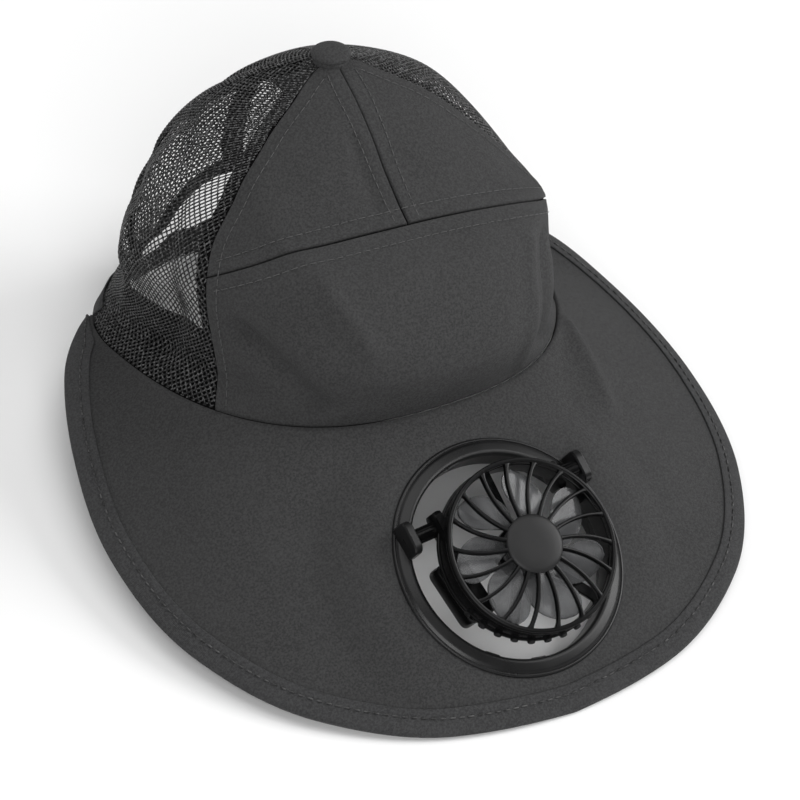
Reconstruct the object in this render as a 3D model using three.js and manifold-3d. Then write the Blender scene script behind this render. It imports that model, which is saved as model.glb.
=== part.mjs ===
// Peaked cap with a wide sloping brim and a tilting fan set into the brim.
// Units are millimetres and +Z is up. The front of the brim points along -Y and the wearer's left is +X.
// The cloth is worked out in the cap's own frame, whose origin is the centre of the head opening, and the
// whole cap leans forward so that the brim's front edge and the hem at the back rest on the floor at z = 0.

import * as THREE from "three";
import { mergeVertices } from "three/addons/utils/BufferGeometryUtils.js";
import Module from "manifold-3d";

const wasm = await Module();
wasm.setup();

/** Rows of numbers as objects with the columns' names. */
function table(names, rows) {
  return rows.map((row) => Object.fromEntries(names.map((name, i) => [name, row[i]])));
}

/** Rows of shares as rows of lengths: each column that has a size is multiplied by it. */
function lengths(rows, sizes) {
  const scaled = ([name, share]) => [name, share * (sizes[name] ?? 1)];
  return rows.map((row) => Object.fromEntries(Object.entries(row).map(scaled)));
}

// Driving sizes

const GAP = 0.3; // between neighbouring pieces
const RADIAN = Math.PI / 180;
const ROUND = 32; // sides of the large rings

// The crown's height at the button, half its width and its front reach at the hem, and the way up its cloth
const CROWN = { height: 110, half_width: 80, reach: 96, climb: 150 };

// Crown sections from the hem (first row) to the button (last row), evenly spaced up the panels.
// Shares of the height: front_z and back_z, the section's front and back. Share of the half width: half_x.
// Shares of the reach: centre_y, the section's widest line, and front and back, measured from that line.
// full_front and full_back: 2 is an ellipse and more is squarer;
// edge: angle of the seam between cloth and net, in radians from the front.
const SECTIONS = table(
  ["front_z", "back_z", "half_x", "centre_y", "front", "back", "full_front", "full_back", "edge"],
  [
    [0, 0, 1, 0, 1, 0.734, 2.42, 1.9, 1],
    [0.141, 0.095, 0.888, -0.089, 1.005, 0.833, 2.47, 2.1, 1.15],
    [0.318, 0.209, 0.888, -0.151, 0.917, 0.781, 2.52, 1.95, 1.19],
    [0.468, 0.332, 0.919, -0.151, 0.844, 0.708, 2.48, 1.95, 1.125],
    [0.573, 0.468, 0.856, -0.125, 0.693, 0.656, 2.31, 1.9, 1.045],
    [0.691, 0.645, 0.744, -0.141, 0.547, 0.557, 2.1, 2, 0.925],
    [0.805, 0.823, 0.569, -0.188, 0.401, 0.385, 1.96, 2.02, 0.865],
    [0.895, 0.941, 0.3, -0.281, 0.208, 0.229, 1.9, 2, 0.955],
    [0.977, 0.995, 0.056, -0.328, 0.047, 0.047, 2, 2, 1.2],
  ],
);

const CROWN_SIZES = {
  front_z: CROWN.height,
  back_z: CROWN.height,
  half_x: CROWN.half_width,
  centre_y: CROWN.reach,
  front: CROWN.reach,
  back: CROWN.reach,
};

const HEM_LIFT = 8.5; // the hem's sides stand this much above its front and back
const HEM_SWAY = 1.4;
const HEM_FADE = 0.45; // share of the crown's height over which that dies out

// The level seam across the front: its share of the way up at the middle, its fall to the sides and its skew
const BROW = { middle: 0.495, fall: 0.0873, skew: 0.029 };

const CLOTH = 1.6; // thickness of the cloth panels
const NET = 1.2; // thickness of the net panels
const SIDE_SEAM = 125 * RADIAN; // angle of the seam between the side and back net panels
const SWEATBAND = { height: 0.23, thickness: 1.4, clearance: 0.9, end: 140 * RADIAN };

// The opening at the back above the strap; foot: share of the net's columns beside it
const ARCH = { half_angle: 30 * RADIAN, top: 0.38, square: 2.4, shoulder: 0.6, foot: 3 / 7, crowding: 1.8 };

// The size strap's halves lap at the middle of the back; their outer ends tuck in deeper behind the net
const STRAP = {
  half_angle: 38 * RADIAN,
  top: 0.17,
  thickness: 1.3,
  clearance: 0.8,
  lap: 6 * RADIAN,
  tuck: 2.7,
};
const STRAP_TUCK = { from: 0.25, to: 0.5 }; // shares of the half's length over which it comes back out
const STRAP_STEP = { from: 0.5, to: 0.8 }; // and over which the right half steps in behind the left one

const BUTTON = { radius: 6.6, height: 4.2, lean: 11 * RADIAN, lift: 0.5 };

// The brim's reach from the opening's centre to its front edge, and how far that edge lies below the opening
const BRIM = {
  reach: 173.3,
  drop: 85.9,
  thickness: 2.0,
  end: 114 * RADIAN,
  stations: 42,
  across: 8,
  crowding: 1.35,
};

// The brim's outer edge: angle in degrees from the front, share of the reach, height as a share of the drop
const BRIM_EDGE = table(
  ["angle", "reach", "z"],
  [
    [0, 1, -1],
    [15, 0.997, -0.962],
    [30, 0.972, -0.846],
    [45, 0.902, -0.654],
    [60, 0.789, -0.409],
    [75, 0.665, -0.155],
    [90, 0.567, 0.036],
    [105, 0.488, 0.1],
    [120, 0.444, 0.1],
  ],
);
const BINDING = { width: 9.5, tape: 0.6, web: 0.8, ease: 0.2 };

// The fan from the inside out: the blades, the barrel round them and the ring round the barrel
const IMPELLER = {
  blades: 7,
  hub: 8.8,
  radius: 28.0,
  height: 5.2,
  blade: 0.9,
  room: 1.1,
  ahead: 0.2,
  behind: 0.5,
};
const FAN = { below: 19.4, front: 12.3, wall: 1.5, rim: 0.4 };
const FAN_RADIUS = IMPELLER.radius + IMPELLER.room + FAN.wall + FAN.rim;
const RING = { room: 5.6, collar: 2.8, flange: 3.9, lip: 1.9, depth: 7.0 };
const RING_INNER = FAN_RADIUS + RING.room;
const RING_WALL = RING_INNER + RING.collar;
const RING_OUTER = RING_WALL + RING.flange;

// The fan's seat in the brim: its share of the way from crown to brim edge, and how it leans
const SEAT = { share: 0.5, pitch: 47.8 * RADIAN, yaw: 3 * RADIAN, side: -0.8, margin: 2.7, blend: 12 };
const SEAT_FLAT = RING_OUTER + SEAT.margin;

// Small slots in the ring's inner edge
const NOTCH = { angles: [100, 235, 262], length: 6.0, width: 1.6, height: 2.5 };

const RETAINER = { flange: 3.0, thickness: 2.2, clearance: 1.3 };

// The fan, measured from its hinge line
const HINGE = { up: 18.2, height: 6.8, pitch: 2 * RADIAN, yaw: -2.7 * RADIAN, turn: 4.7 * RADIAN };
const EAR = { clearance: 3.6, thickness: 3.2, length: 12.0, above: 4.4, overhang: 2.5 };
const EAR_INNER = FAN_RADIUS + EAR.clearance;
const SHAFT = { radius: 2.6, pin: 1.8, bore: 2.2 };
const BOSS = { length: 4.4, width: 10.0, height: 8.6, centre: 1.7 }; // where a shaft meets the barrel
const GRILLE = { depth: 2.5, spokes: 18, spoke: 1.15, hub: 10.4, sweep: 10 * RADIAN, dome: 1.8 };
const GUARD = { struts: 5, width: 3.6, thickness: 2.0, teeth: 13, tooth: 2.6, first: 202, last: 338 };
const MOTOR = { radius: 9.6, height: 2.6, axle: 1.0 };
const BOX = { angle: 188 * RADIAN, width: 12.1, length: 23, depth: 8.5, round: 3, edge: 0.8 };
const KNOB = { length: 7.0, width: 3.6, height: 1.8, round: 1.6, edge: 0.5 };

// Where the cap meets the floor, in the cap's own frame
const REST_FRONT = { y: -BRIM.reach, z: -BRIM.drop - 0.1 };
const REST_BACK = { y: 68.5, z: 1.6 };
const ORIGIN_Y = -61.865; // the middle of the resting cap, front to back, from the opening's centre

const REST_TILT = Math.atan2(REST_BACK.z - REST_FRONT.z, REST_BACK.y - REST_FRONT.y);
const FLOOR_NORMAL = new THREE.Vector3(0, -Math.sin(REST_TILT), Math.cos(REST_TILT));
const FLOOR_HEIGHT = FLOOR_NORMAL.dot(new THREE.Vector3(0, REST_BACK.y, REST_BACK.z));

// Materials

function material(colour, roughness, metalness = 0) {
  return new THREE.MeshStandardMaterial({ color: colour, roughness, metalness });
}

const clothLook = () => material(0x3f3f40, 0.9);
const netLook = () => material(0x2c2c2d, 0.95);
const plasticLook = () => material(0x2a2a2b, 0.42);

// Geometry helpers

/** A smooth curve through evenly spaced values that never overshoots them. */
function smoothColumn(values) {
  const step = values.slice(1).map((value, i) => value - values[i]);
  const slope = values.map((_, i) => {
    if (i === 0) return step[0];
    if (i === values.length - 1) return step[i - 1];
    const product = step[i - 1] * step[i];
    return product <= 0 ? 0 : (2 * product) / (step[i - 1] + step[i]);
  });
  return (share) => {
    const place = THREE.MathUtils.clamp(share, 0, 1) * (values.length - 1);
    const i = Math.min(Math.floor(place), values.length - 2);
    const u = place - i;
    const v = 1 - u;
    return (
      (1 + 2 * u) * v * v * values[i] +
      u * v * v * slope[i] +
      u * u * (3 - 2 * u) * values[i + 1] -
      u * u * v * slope[i + 1]
    );
  };
}

function columns(table) {
  const names = Object.keys(table[0]);
  return Object.fromEntries(names.map((name) => [name, smoothColumn(table.map((row) => row[name]))]));
}

/** Cloth that would reach below the floor, or below a layer of cloth on the floor, lies flat on it. */
function rested(point, layer = 0) {
  const below = FLOOR_HEIGHT + layer - point.dot(FLOOR_NORMAL);
  return below > 0 ? point.clone().addScaledVector(FLOOR_NORMAL, below) : point;
}

function geometryOf(points, triangles) {
  const geometry = new THREE.BufferGeometry();
  geometry.setAttribute("position", new THREE.Float32BufferAttribute(points.flatMap((p) => p.toArray()), 3));
  const volume = triangles.reduce((sum, [a, b, c]) => {
    return sum + points[a].dot(new THREE.Vector3().crossVectors(points[b], points[c]));
  }, 0);
  const facing = volume < 0 ? triangles.map(([a, b, c]) => [a, c, b]) : triangles;
  geometry.setIndex(facing.flat());
  geometry.computeVertexNormals();
  return geometry;
}

/** A closed wall between two grids of points with the same rows and columns. */
function wallBetween(outer, inner) {
  const rows = outer.length;
  const cols = outer[0].length;
  const points = [...outer.flat(), ...inner.flat()];
  const out = (r, c) => r * cols + c;
  const back = (r, c) => rows * cols + r * cols + c;
  const triangles = [];
  const quad = (a, b, c, d) => triangles.push([a, b, c], [a, c, d]);
  for (let r = 0; r < rows - 1; r++) {
    for (let c = 0; c < cols - 1; c++) {
      quad(out(r, c), out(r, c + 1), out(r + 1, c + 1), out(r + 1, c));
      quad(back(r, c), back(r + 1, c), back(r + 1, c + 1), back(r, c + 1));
    }
    quad(out(r, 0), out(r + 1, 0), back(r + 1, 0), back(r, 0));
    quad(out(r, cols - 1), back(r, cols - 1), back(r + 1, cols - 1), out(r + 1, cols - 1));
  }
  for (let c = 0; c < cols - 1; c++) {
    quad(out(0, c), back(0, c), back(0, c + 1), out(0, c + 1));
    quad(out(rows - 1, c), out(rows - 1, c + 1), back(rows - 1, c + 1), back(rows - 1, c));
  }
  return geometryOf(points, triangles);
}

/** A solid through equal closed sections; the first and last are capped. */
function loft(sections, flatCap) {
  const count = sections[0].length;
  const points = sections.flat();
  const triangles = [];
  for (let s = 0; s < sections.length - 1; s++) {
    for (let k = 0; k < count; k++) {
      const a = s * count + k;
      const b = s * count + ((k + 1) % count);
      triangles.push([a, b, b + count], [a, b + count, a + count]);
    }
  }
  const last = (sections.length - 1) * count;
  for (const [a, b, c] of THREE.ShapeUtils.triangulateShape(flatCap, [])) {
    triangles.push([a, c, b], [last + a, last + b, last + c]);
  }
  return geometryOf(points, triangles);
}

function grid(rows, cols, point) {
  return Array.from({ length: rows + 1 }, (_, r) => {
    return Array.from({ length: cols + 1 }, (_, c) => point(c / cols, r / rows));
  });
}

/** A turned piece about Z from an outline of [radius, height] pairs, open only where it meets the axis. */
function turned(profile, sides) {
  const outline = profile.map(([radius, height]) => new THREE.Vector2(radius, height));
  const upward = THREE.ShapeUtils.area(outline) > 0 ? outline : outline.reverse();
  const closed = upward[0].x > 0 ? [...upward, upward[0]] : upward;
  return new THREE.LatheGeometry(closed, sides).rotateX(Math.PI / 2);
}

function rod(radius, from, to, sides = 16) {
  const length = to - from;
  return new THREE.CylinderGeometry(radius, radius, length, sides)
    .rotateX(Math.PI / 2)
    .translate(0, 0, from + length / 2);
}

function block(width, depth, height) {
  return new THREE.BoxGeometry(width, depth, height);
}

function solid(geometry) {
  const bare = geometry.clone();
  bare.deleteAttribute("normal");
  bare.deleteAttribute("uv");
  const merged = mergeVertices(bare, 1e-4);
  const index = merged.index.array;
  const kept = [];
  for (let i = 0; i < index.length; i += 3) {
    const [a, b, c] = [index[i], index[i + 1], index[i + 2]];
    if (a !== b && b !== c && c !== a) kept.push(a, b, c);
  }
  return new wasm.Manifold(
    new wasm.Mesh({
      numProp: 3,
      vertProperties: new Float32Array(merged.attributes.position.array),
      triVerts: new Uint32Array(kept),
    }),
  );
}

function shapeOf(manifold) {
  const mesh = manifold.getMesh();
  const geometry = new THREE.BufferGeometry();
  geometry.setAttribute("position", new THREE.BufferAttribute(new Float32Array(mesh.vertProperties), 3));
  geometry.setIndex(new THREE.BufferAttribute(new Uint32Array(mesh.triVerts), 1));
  geometry.computeVertexNormals();
  return geometry;
}

function joined(...geometries) {
  return geometries.map(solid).reduce((whole, piece) => whole.add(piece));
}

// The crown's surface

const CROWN_ROWS = lengths(SECTIONS, CROWN_SIZES);
const section = columns(CROWN_ROWS);

function signedPower(value, power) {
  return Math.sign(value) * Math.abs(value) ** power;
}

/** A point on the crown's outside: angle from the front in radians, share of the way from hem to button. */
function crownPoint(angle, share) {
  const c = Math.cos(angle);
  const s = Math.sin(angle);
  const ahead = c > 0;
  const power = 2 / (ahead ? section.full_front(share) : section.full_back(share));
  const front = section.centre_y(share) - section.front(share);
  const back = section.centre_y(share) + section.back(share);
  const reach = ahead ? section.front(share) : section.back(share);
  const y = section.centre_y(share) - reach * signedPower(c, power);
  const slant = (y - front) / (back - front);
  const fade = Math.max(0, 1 - share / HEM_FADE) ** 2;
  const lift = (HEM_LIFT / 2) * (1 - Math.cos(2 * angle)) + HEM_SWAY * (Math.cos(3 * angle) - c);
  const z = THREE.MathUtils.lerp(section.front_z(share), section.back_z(share), slant) + lift * fade;
  return new THREE.Vector3(section.half_x(share) * signedPower(s, power), y, z);
}

function crownNormal(angle, share) {
  const step = 0.03;
  const along = crownPoint(angle + step, share).sub(crownPoint(angle - step, share));
  const up = crownPoint(angle, Math.min(1, share + step)).sub(crownPoint(angle, Math.max(0, share - step)));
  return along.cross(up).normalize();
}

/** The crown's surface, sunk below its outside by a depth. */
function crownAt(angle, share, depth) {
  return rested(crownPoint(angle, share).addScaledVector(crownNormal(angle, share), -depth));
}

function browShare(angle) {
  return BROW.middle - BROW.fall * angle * angle - BROW.skew * angle;
}

/** Angle that a distance along the section covers at this place. */
function angleFor(distance, angle, share) {
  const step = 0.02;
  const length = crownPoint(angle + step, share).distanceTo(crownPoint(angle - step, share));
  return (distance * 2 * step) / length;
}

const SHARE_GAP = GAP / CROWN.climb; // half a gap, measured up the crown
const FRONT_ROWS = 6;
const UPPER_ROWS = 8;
const CLOTH_COLS = 10; // from the middle of the front to the net
const NET_COLS = 7;

/** The rows of the net line up with those of the cloth beside it, so that the seam has one shape. */
function netRow(hand, v) {
  const brow = browShare(hand * SECTIONS[3].edge);
  const row = v * (FRONT_ROWS + UPPER_ROWS);
  if (row <= FRONT_ROWS) return (brow * row) / FRONT_ROWS;
  return brow + ((1 - brow) * (row - FRONT_ROWS)) / UPPER_ROWS;
}

function panel(rows, cols, thickness, place) {
  const outer = grid(rows, cols, (u, v) => crownAt(...place(u, v), 0));
  const inner = grid(rows, cols, (u, v) => crownAt(...place(u, v), thickness));
  return wallBetween(outer, inner);
}

function frontPanel() {
  return panel(FRONT_ROWS, 2 * CLOTH_COLS, CLOTH, (u, v) => {
    const side = 2 * u - 1;
    const share = v * (browShare(side * SECTIONS[3].edge) - SHARE_GAP);
    const half = section.edge(share);
    return [side * (half - angleFor(GAP / 2, side * half, share)), share];
  });
}

function upperPanel(hand) {
  return panel(UPPER_ROWS, CLOTH_COLS, CLOTH, (u, v) => {
    const low = browShare(hand * u * SECTIONS[3].edge) + SHARE_GAP;
    const share = THREE.MathUtils.lerp(low, 1, v);
    const trim = angleFor(GAP / 2, section.edge(share), share);
    return [hand * THREE.MathUtils.lerp(trim, section.edge(share) - trim, u), share];
  });
}

function sideNet(hand) {
  return panel(FRONT_ROWS + UPPER_ROWS, NET_COLS, NET, (u, v) => {
    const share = netRow(hand, v);
    const trim = angleFor(GAP / 2, section.edge(share), share);
    return [hand * THREE.MathUtils.lerp(section.edge(share) + trim, SIDE_SEAM - trim, u), share];
  });
}

function archShare(angle) {
  const offset = Math.min(1, (Math.PI - angle) / ARCH.half_angle);
  return ARCH.top * (1 - offset ** ARCH.square) ** ARCH.shoulder;
}

/** Columns of the back net: even up to the foot of the arch, then crowded where the arch is steep. */
function backAngle(u) {
  const foot = Math.PI - ARCH.half_angle;
  const along = (u - ARCH.foot) / (1 - ARCH.foot);
  if (along <= 0) return THREE.MathUtils.lerp(SIDE_SEAM, foot, u / ARCH.foot);
  return foot + ARCH.half_angle * along ** ARCH.crowding;
}

function backNet(hand) {
  return panel(FRONT_ROWS + UPPER_ROWS, NET_COLS, NET, (u, v) => {
    const angle = backAngle(u);
    const share = THREE.MathUtils.lerp(archShare(angle), 1, netRow(hand, v));
    const trim = angleFor(GAP / 2, SIDE_SEAM, share);
    return [hand * THREE.MathUtils.clamp(angle, SIDE_SEAM + trim, Math.PI - trim), share];
  });
}

function sweatband() {
  const rows = 4;
  const cols = 36;
  const depth = CLOTH + SWEATBAND.clearance;
  const place = (u, v) => [(2 * u - 1) * SWEATBAND.end, v * SWEATBAND.height];
  const outer = grid(rows, cols, (u, v) => crownAt(...place(u, v), depth));
  const inner = grid(rows, cols, (u, v) => crownAt(...place(u, v), depth + SWEATBAND.thickness));
  return wallBetween(outer, inner);
}

/** One half of the size strap; the two halves lap over each other at the middle of the back. */
function strapHalf(hand, step) {
  const rows = 3;
  const cols = 10;
  const from = Math.PI - STRAP.half_angle;
  const to = Math.PI + STRAP.lap;
  const place = (u, v) => [hand * THREE.MathUtils.lerp(from, to, u), v * STRAP.top];
  const depth = (u) => {
    const tucked = STRAP.tuck * (1 - THREE.MathUtils.smoothstep(u, STRAP_TUCK.from, STRAP_TUCK.to));
    const stepped = step * THREE.MathUtils.smoothstep(u, STRAP_STEP.from, STRAP_STEP.to);
    return NET + STRAP.clearance + tucked + stepped;
  };
  const outer = grid(rows, cols, (u, v) => crownAt(...place(u, v), depth(u)));
  const inner = grid(rows, cols, (u, v) => crownAt(...place(u, v), depth(u) + STRAP.thickness));
  return wallBetween(outer, inner);
}

function buttonShape() {
  const { radius, height } = BUTTON;
  const dome = [
    [0, 0],
    [radius * 0.82, 0],
    [radius, height * 0.25],
    [radius * 0.93, height * 0.55],
    [radius * 0.68, height * 0.86],
    [radius * 0.35, height * 0.97],
    [0, height],
  ];
  return turned(dome, 16);
}

// The brim

const brimEdge = columns(lengths(BRIM_EDGE, { reach: BRIM.reach, z: BRIM.drop }));
const EDGE_SPAN = BRIM_EDGE[BRIM_EDGE.length - 1].angle * RADIAN;

function edgePoint(angle) {
  const share = Math.abs(angle) / EDGE_SPAN;
  const reach = brimEdge.reach(share);
  return new THREE.Vector3(reach * Math.sin(angle), -reach * Math.cos(angle), brimEdge.z(share));
}

const SEAT_NORMAL = new THREE.Vector3(0, 0, 1).applyEuler(new THREE.Euler(SEAT.pitch, SEAT.yaw, 0));
const SEAT_CENTRE = crownPoint(0, 0).lerp(edgePoint(0), SEAT.share).add(new THREE.Vector3(SEAT.side, 0, 0));

/** The brim's middle surface: angle from the front, share of the way from crown to edge. */
function brimPoint(angle, share) {
  const start = crownPoint(angle, 0);
  const outward = edgePoint(angle).sub(start);
  const clear = (GAP + 0.15) / Math.max(outward.length(), 1);
  const point = start.addScaledVector(outward, THREE.MathUtils.lerp(clear, 1, share));
  const offset = point.clone().sub(SEAT_CENTRE);
  const height = offset.dot(SEAT_NORMAL);
  const distance = Math.sqrt(Math.max(0, offset.lengthSq() - height * height));
  const near = 1 - THREE.MathUtils.smoothstep(distance, SEAT_FLAT, SEAT_FLAT + SEAT.blend);
  const free = THREE.MathUtils.smoothstep(share, 0, 0.06) * (1 - THREE.MathUtils.smoothstep(share, 0.9, 1));
  return point.addScaledVector(SEAT_NORMAL, -height * near * free);
}

function brimNormal(angle, share) {
  const step = 0.02;
  const along = brimPoint(angle + step, share).sub(brimPoint(angle - step, share));
  const out = brimPoint(angle, Math.min(1, share + step)).sub(brimPoint(angle, Math.max(0, share - step)));
  return out.cross(along).normalize();
}

function brimAngle(u) {
  return (2 * u - 1) * BRIM.end;
}

/** The place a distance in from the brim's edge, as a share of the way out from the crown. */
function shareInFromEdge(angle, distance) {
  const step = 0.02;
  const tangent = edgePoint(angle + step).sub(edgePoint(angle - step)).normalize();
  const ruling = brimPoint(angle, 1).sub(brimPoint(angle, 0));
  const along = ruling.dot(tangent);
  const reach = Math.sqrt(ruling.lengthSq() - along * along);
  const squeeze = Math.min(1, (0.8 * reach) / BINDING.width);
  return 1 - (distance * squeeze) / reach;
}

function brimShell() {
  const half = BRIM.thickness / 2;
  const place = (u, v) => {
    const angle = brimAngle(u);
    const row = Math.round(v * BRIM.across);
    if (row === BRIM.across) return [angle, shareInFromEdge(angle, BINDING.web + 2 * GAP)]; // under the tape
    return [angle, (row / (BRIM.across - 1)) ** BRIM.crowding * shareInFromEdge(angle, BINDING.width)];
  };
  const side = (offset) => (u, v) => {
    const [angle, share] = place(u, v);
    const point = brimPoint(angle, share).addScaledVector(brimNormal(angle, share), offset);
    return rested(point, BINDING.tape + GAP);
  };
  const face = (offset) => grid(BRIM.across, BRIM.stations, side(offset));
  return wallBetween(face(half), face(-half));
}

/** Places a seat-frame shape in the cap's frame. */
function seated(geometry) {
  const turn = new THREE.Matrix4().makeRotationFromEuler(new THREE.Euler(SEAT.pitch, SEAT.yaw, 0));
  return geometry.applyMatrix4(turn.setPosition(SEAT_CENTRE));
}

function brim() {
  const hole = seated(rod(RING_WALL + GAP, -15, 15, ROUND));
  return shapeOf(solid(brimShell()).subtract(solid(hole)));
}

/** The folded tape round the brim's edge: a U in section. */
function brimBinding() {
  const inside = BRIM.thickness / 2 + GAP + BINDING.ease;
  const outside = inside + BINDING.tape;
  const profile = [
    [BINDING.width, outside],
    [0.7, outside],
    [0, outside * 0.45],
    [0, -outside * 0.45],
    [0.7, -outside],
    [BINDING.width, -outside],
    [BINDING.width, -inside],
    [BINDING.web, -inside],
    [BINDING.web, inside],
    [BINDING.width, inside],
  ];
  const sections = Array.from({ length: BRIM.stations + 1 }, (_, i) => {
    const angle = brimAngle(i / BRIM.stations);
    return profile.map(([inset, height]) => {
      const share = shareInFromEdge(angle, inset);
      const layer = Math.abs(height) === inside ? BINDING.tape : 0;
      return rested(brimPoint(angle, share).addScaledVector(brimNormal(angle, share), height), layer);
    });
  });
  return loft(sections, profile.map(([x, y]) => new THREE.Vector2(x, y)));
}

// The ring in the brim

const RING_BASE = BRIM.thickness / 2 + GAP;

function ear(hand) {
  const top = HINGE.height + EAR.above;
  const low = RING_BASE + 0.6;
  const half = EAR.length / 2;
  const round = EAR.above * 0.8;
  const outline = new THREE.Shape();
  outline.moveTo(-half, low);
  outline.lineTo(half, low);
  outline.lineTo(half, top - round);
  outline.absarc(half - round, top - round, round, 0, Math.PI / 2);
  outline.absarc(round - half, top - round, round, Math.PI / 2, Math.PI);
  const options = { depth: EAR.thickness, bevelEnabled: false, curveSegments: 4 };
  const plate = new THREE.ExtrudeGeometry(outline, options);
  const near = hand > 0 ? EAR_INNER : -EAR_INNER - EAR.thickness;
  plate.rotateZ(Math.PI / 2).rotateY(Math.PI / 2);
  return plate.translate(near, 0, 0).rotateZ(HINGE.turn).translate(0, HINGE.up, 0);
}

function hingeTurn() {
  const lean = new THREE.Euler(HINGE.pitch, HINGE.yaw, HINGE.turn);
  return new THREE.Matrix4().makeRotationFromEuler(lean).setPosition(0, HINGE.up, HINGE.height);
}

function mountRing() {
  const { lip, depth } = RING;
  const profile = [
    [RING_INNER, RING_BASE + 0.4],
    [RING_INNER + 0.8, RING_BASE + 0.8],
    [RING_OUTER - 2.2, RING_BASE + 0.9],
    [RING_OUTER - 1.3, RING_BASE + lip],
    [RING_OUTER - 0.3, RING_BASE + lip - 0.5],
    [RING_OUTER, RING_BASE],
    [RING_WALL, RING_BASE],
    [RING_WALL, -depth],
    [RING_INNER, -depth],
  ];
  const bore = rod(SHAFT.bore, -60, 60, 12).rotateY(Math.PI / 2).applyMatrix4(hingeTurn());
  const trim = solid(rod(RING_OUTER + EAR.overhang, 0, 30, ROUND));
  const ears = solid(ear(1)).add(solid(ear(-1))).intersect(trim);
  let whole = solid(turned(profile, ROUND)).add(ears).subtract(solid(bore));
  for (const angle of NOTCH.angles) {
    const notch = block(NOTCH.length, NOTCH.width, NOTCH.height)
      .translate(0, RING_INNER, RING_BASE + NOTCH.height / 2)
      .rotateZ((angle - 90) * RADIAN);
    whole = whole.subtract(solid(notch));
  }
  return shapeOf(whole);
}

function retainer() {
  const top = -BRIM.thickness / 2 - RETAINER.clearance;
  const inside = RING_WALL + GAP;
  const bottom = top - RETAINER.thickness;
  const profile = [
    [inside, top],
    [RING_WALL + RETAINER.flange, top],
    [RING_WALL + RETAINER.flange - 0.8, bottom],
    [inside, bottom],
  ];
  return turned(profile, ROUND);
}

// The fan, in a frame whose X axis is the hinge line and whose Z axis is the fan's own

const IMPELLER_TOP = FAN.front - GRILLE.depth - IMPELLER.ahead;
const IMPELLER_BOTTOM = IMPELLER_TOP - IMPELLER.height;
const MOTOR_TOP = IMPELLER_BOTTOM - IMPELLER.behind;
const REAR = MOTOR_TOP - MOTOR.height;

function fanHousing() {
  const top = FAN.front - GRILLE.depth - GAP;
  const radius = FAN_RADIUS - FAN.rim;
  const barrel = [[radius, REAR], [radius, top], [radius - FAN.wall, top], [radius - FAN.wall, REAR]];
  let whole = solid(turned(barrel, ROUND));
  for (let i = 0; i < GUARD.struts; i++) {
    const length = radius - 0.6 - MOTOR.radius / 2;
    const strut = block(length, GUARD.width, GUARD.thickness)
      .translate(MOTOR.radius / 2 + length / 2, 0, REAR + GUARD.thickness / 2)
      .rotateZ((i * 360 * RADIAN) / GUARD.struts + 18 * RADIAN);
    whole = whole.add(solid(strut));
  }
  for (let i = 0; i < GUARD.teeth; i++) {
    const angle = THREE.MathUtils.lerp(GUARD.first, GUARD.last, i / (GUARD.teeth - 1)) * RADIAN;
    const tooth = block(2.0, GUARD.tooth, 2.2).translate(radius + 0.2, 0, REAR + 1.1).rotateZ(angle);
    whole = whole.add(solid(tooth));
  }
  whole = whole.add(solid(rod(MOTOR.radius, REAR - 1.5, MOTOR_TOP, 24)));
  whole = whole.add(solid(rod(MOTOR.axle, MOTOR_TOP - 1, IMPELLER_TOP - 1, 12)));
  const hub = new THREE.Matrix4().makeTranslation(0, -FAN.below, 0);
  whole = solid(shapeOf(whole).applyMatrix4(hub));
  const inside = solid(rod(radius - FAN.wall, -30, 30, ROUND).applyMatrix4(hub));
  for (const hand of [-1, 1]) {
    const start = Math.sqrt(radius ** 2 - FAN.below ** 2) - 0.9;
    const boss = block(BOSS.length, BOSS.width, BOSS.height)
      .translate(hand * (start + BOSS.length / 2 - 1.5), 0, BOSS.centre);
    whole = whole.add(solid(boss).subtract(inside));
    const shaft = rod(SHAFT.radius, start, EAR_INNER - 0.4, 14).rotateY((hand * Math.PI) / 2);
    const pin = rod(SHAFT.pin, EAR_INNER - 1, EAR_INNER + EAR.thickness, 12).rotateY((hand * Math.PI) / 2);
    whole = whole.add(solid(shaft)).add(solid(pin));
  }
  return shapeOf(whole);
}

/** One curved spoke of the grille, from the hub out to the rim. */
function spoke(turn) {
  const steps = 2;
  const inner = GRILLE.hub - 0.8;
  const outer = FAN_RADIUS - 1.2;
  const sections = Array.from({ length: steps + 1 }, (_, i) => {
    const u = i / steps;
    const radius = THREE.MathUtils.lerp(inner, outer, u);
    const angle = turn + GRILLE.sweep * Math.sin((1 - u) * (Math.PI / 2));
    const half = GRILLE.spoke / 2 / radius;
    const low = FAN.front - 2.0 + GRILLE.dome * (1 - u);
    const high = low + 1.6;
    return [[-half, low], [half, low], [half, high], [-half, high]].map(([side, z]) => {
      return new THREE.Vector3(radius * Math.cos(angle + side), radius * Math.sin(angle + side), z);
    });
  });
  const flat = [[0, 0], [1, 0], [1, 1], [0, 1]].map(([x, y]) => new THREE.Vector2(x, y));
  return loft(sections, flat);
}

function grille() {
  const { front } = FAN;
  const low = front - GRILLE.depth;
  const rim = [
    [FAN_RADIUS - 1.7, low],
    [FAN_RADIUS, low],
    [FAN_RADIUS, front - 0.7],
    [FAN_RADIUS - 0.6, front],
    [FAN_RADIUS - 1.4, front],
    [FAN_RADIUS - 1.7, front - 0.4],
  ];
  const face = front + GRILLE.dome;
  const disc = [
    [0, face - 1.9],
    [GRILLE.hub, face - 1.9],
    [GRILLE.hub, face - 0.4],
    [GRILLE.hub - 0.7, face],
    [0, face + 0.3],
  ];
  let whole = solid(turned(rim, ROUND)).add(solid(turned(disc, 20)));
  for (let i = 0; i < GRILLE.spokes; i++) {
    whole = whole.add(solid(spoke((i * 2 * Math.PI) / GRILLE.spokes)));
  }
  return shapeOf(whole);
}

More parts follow.
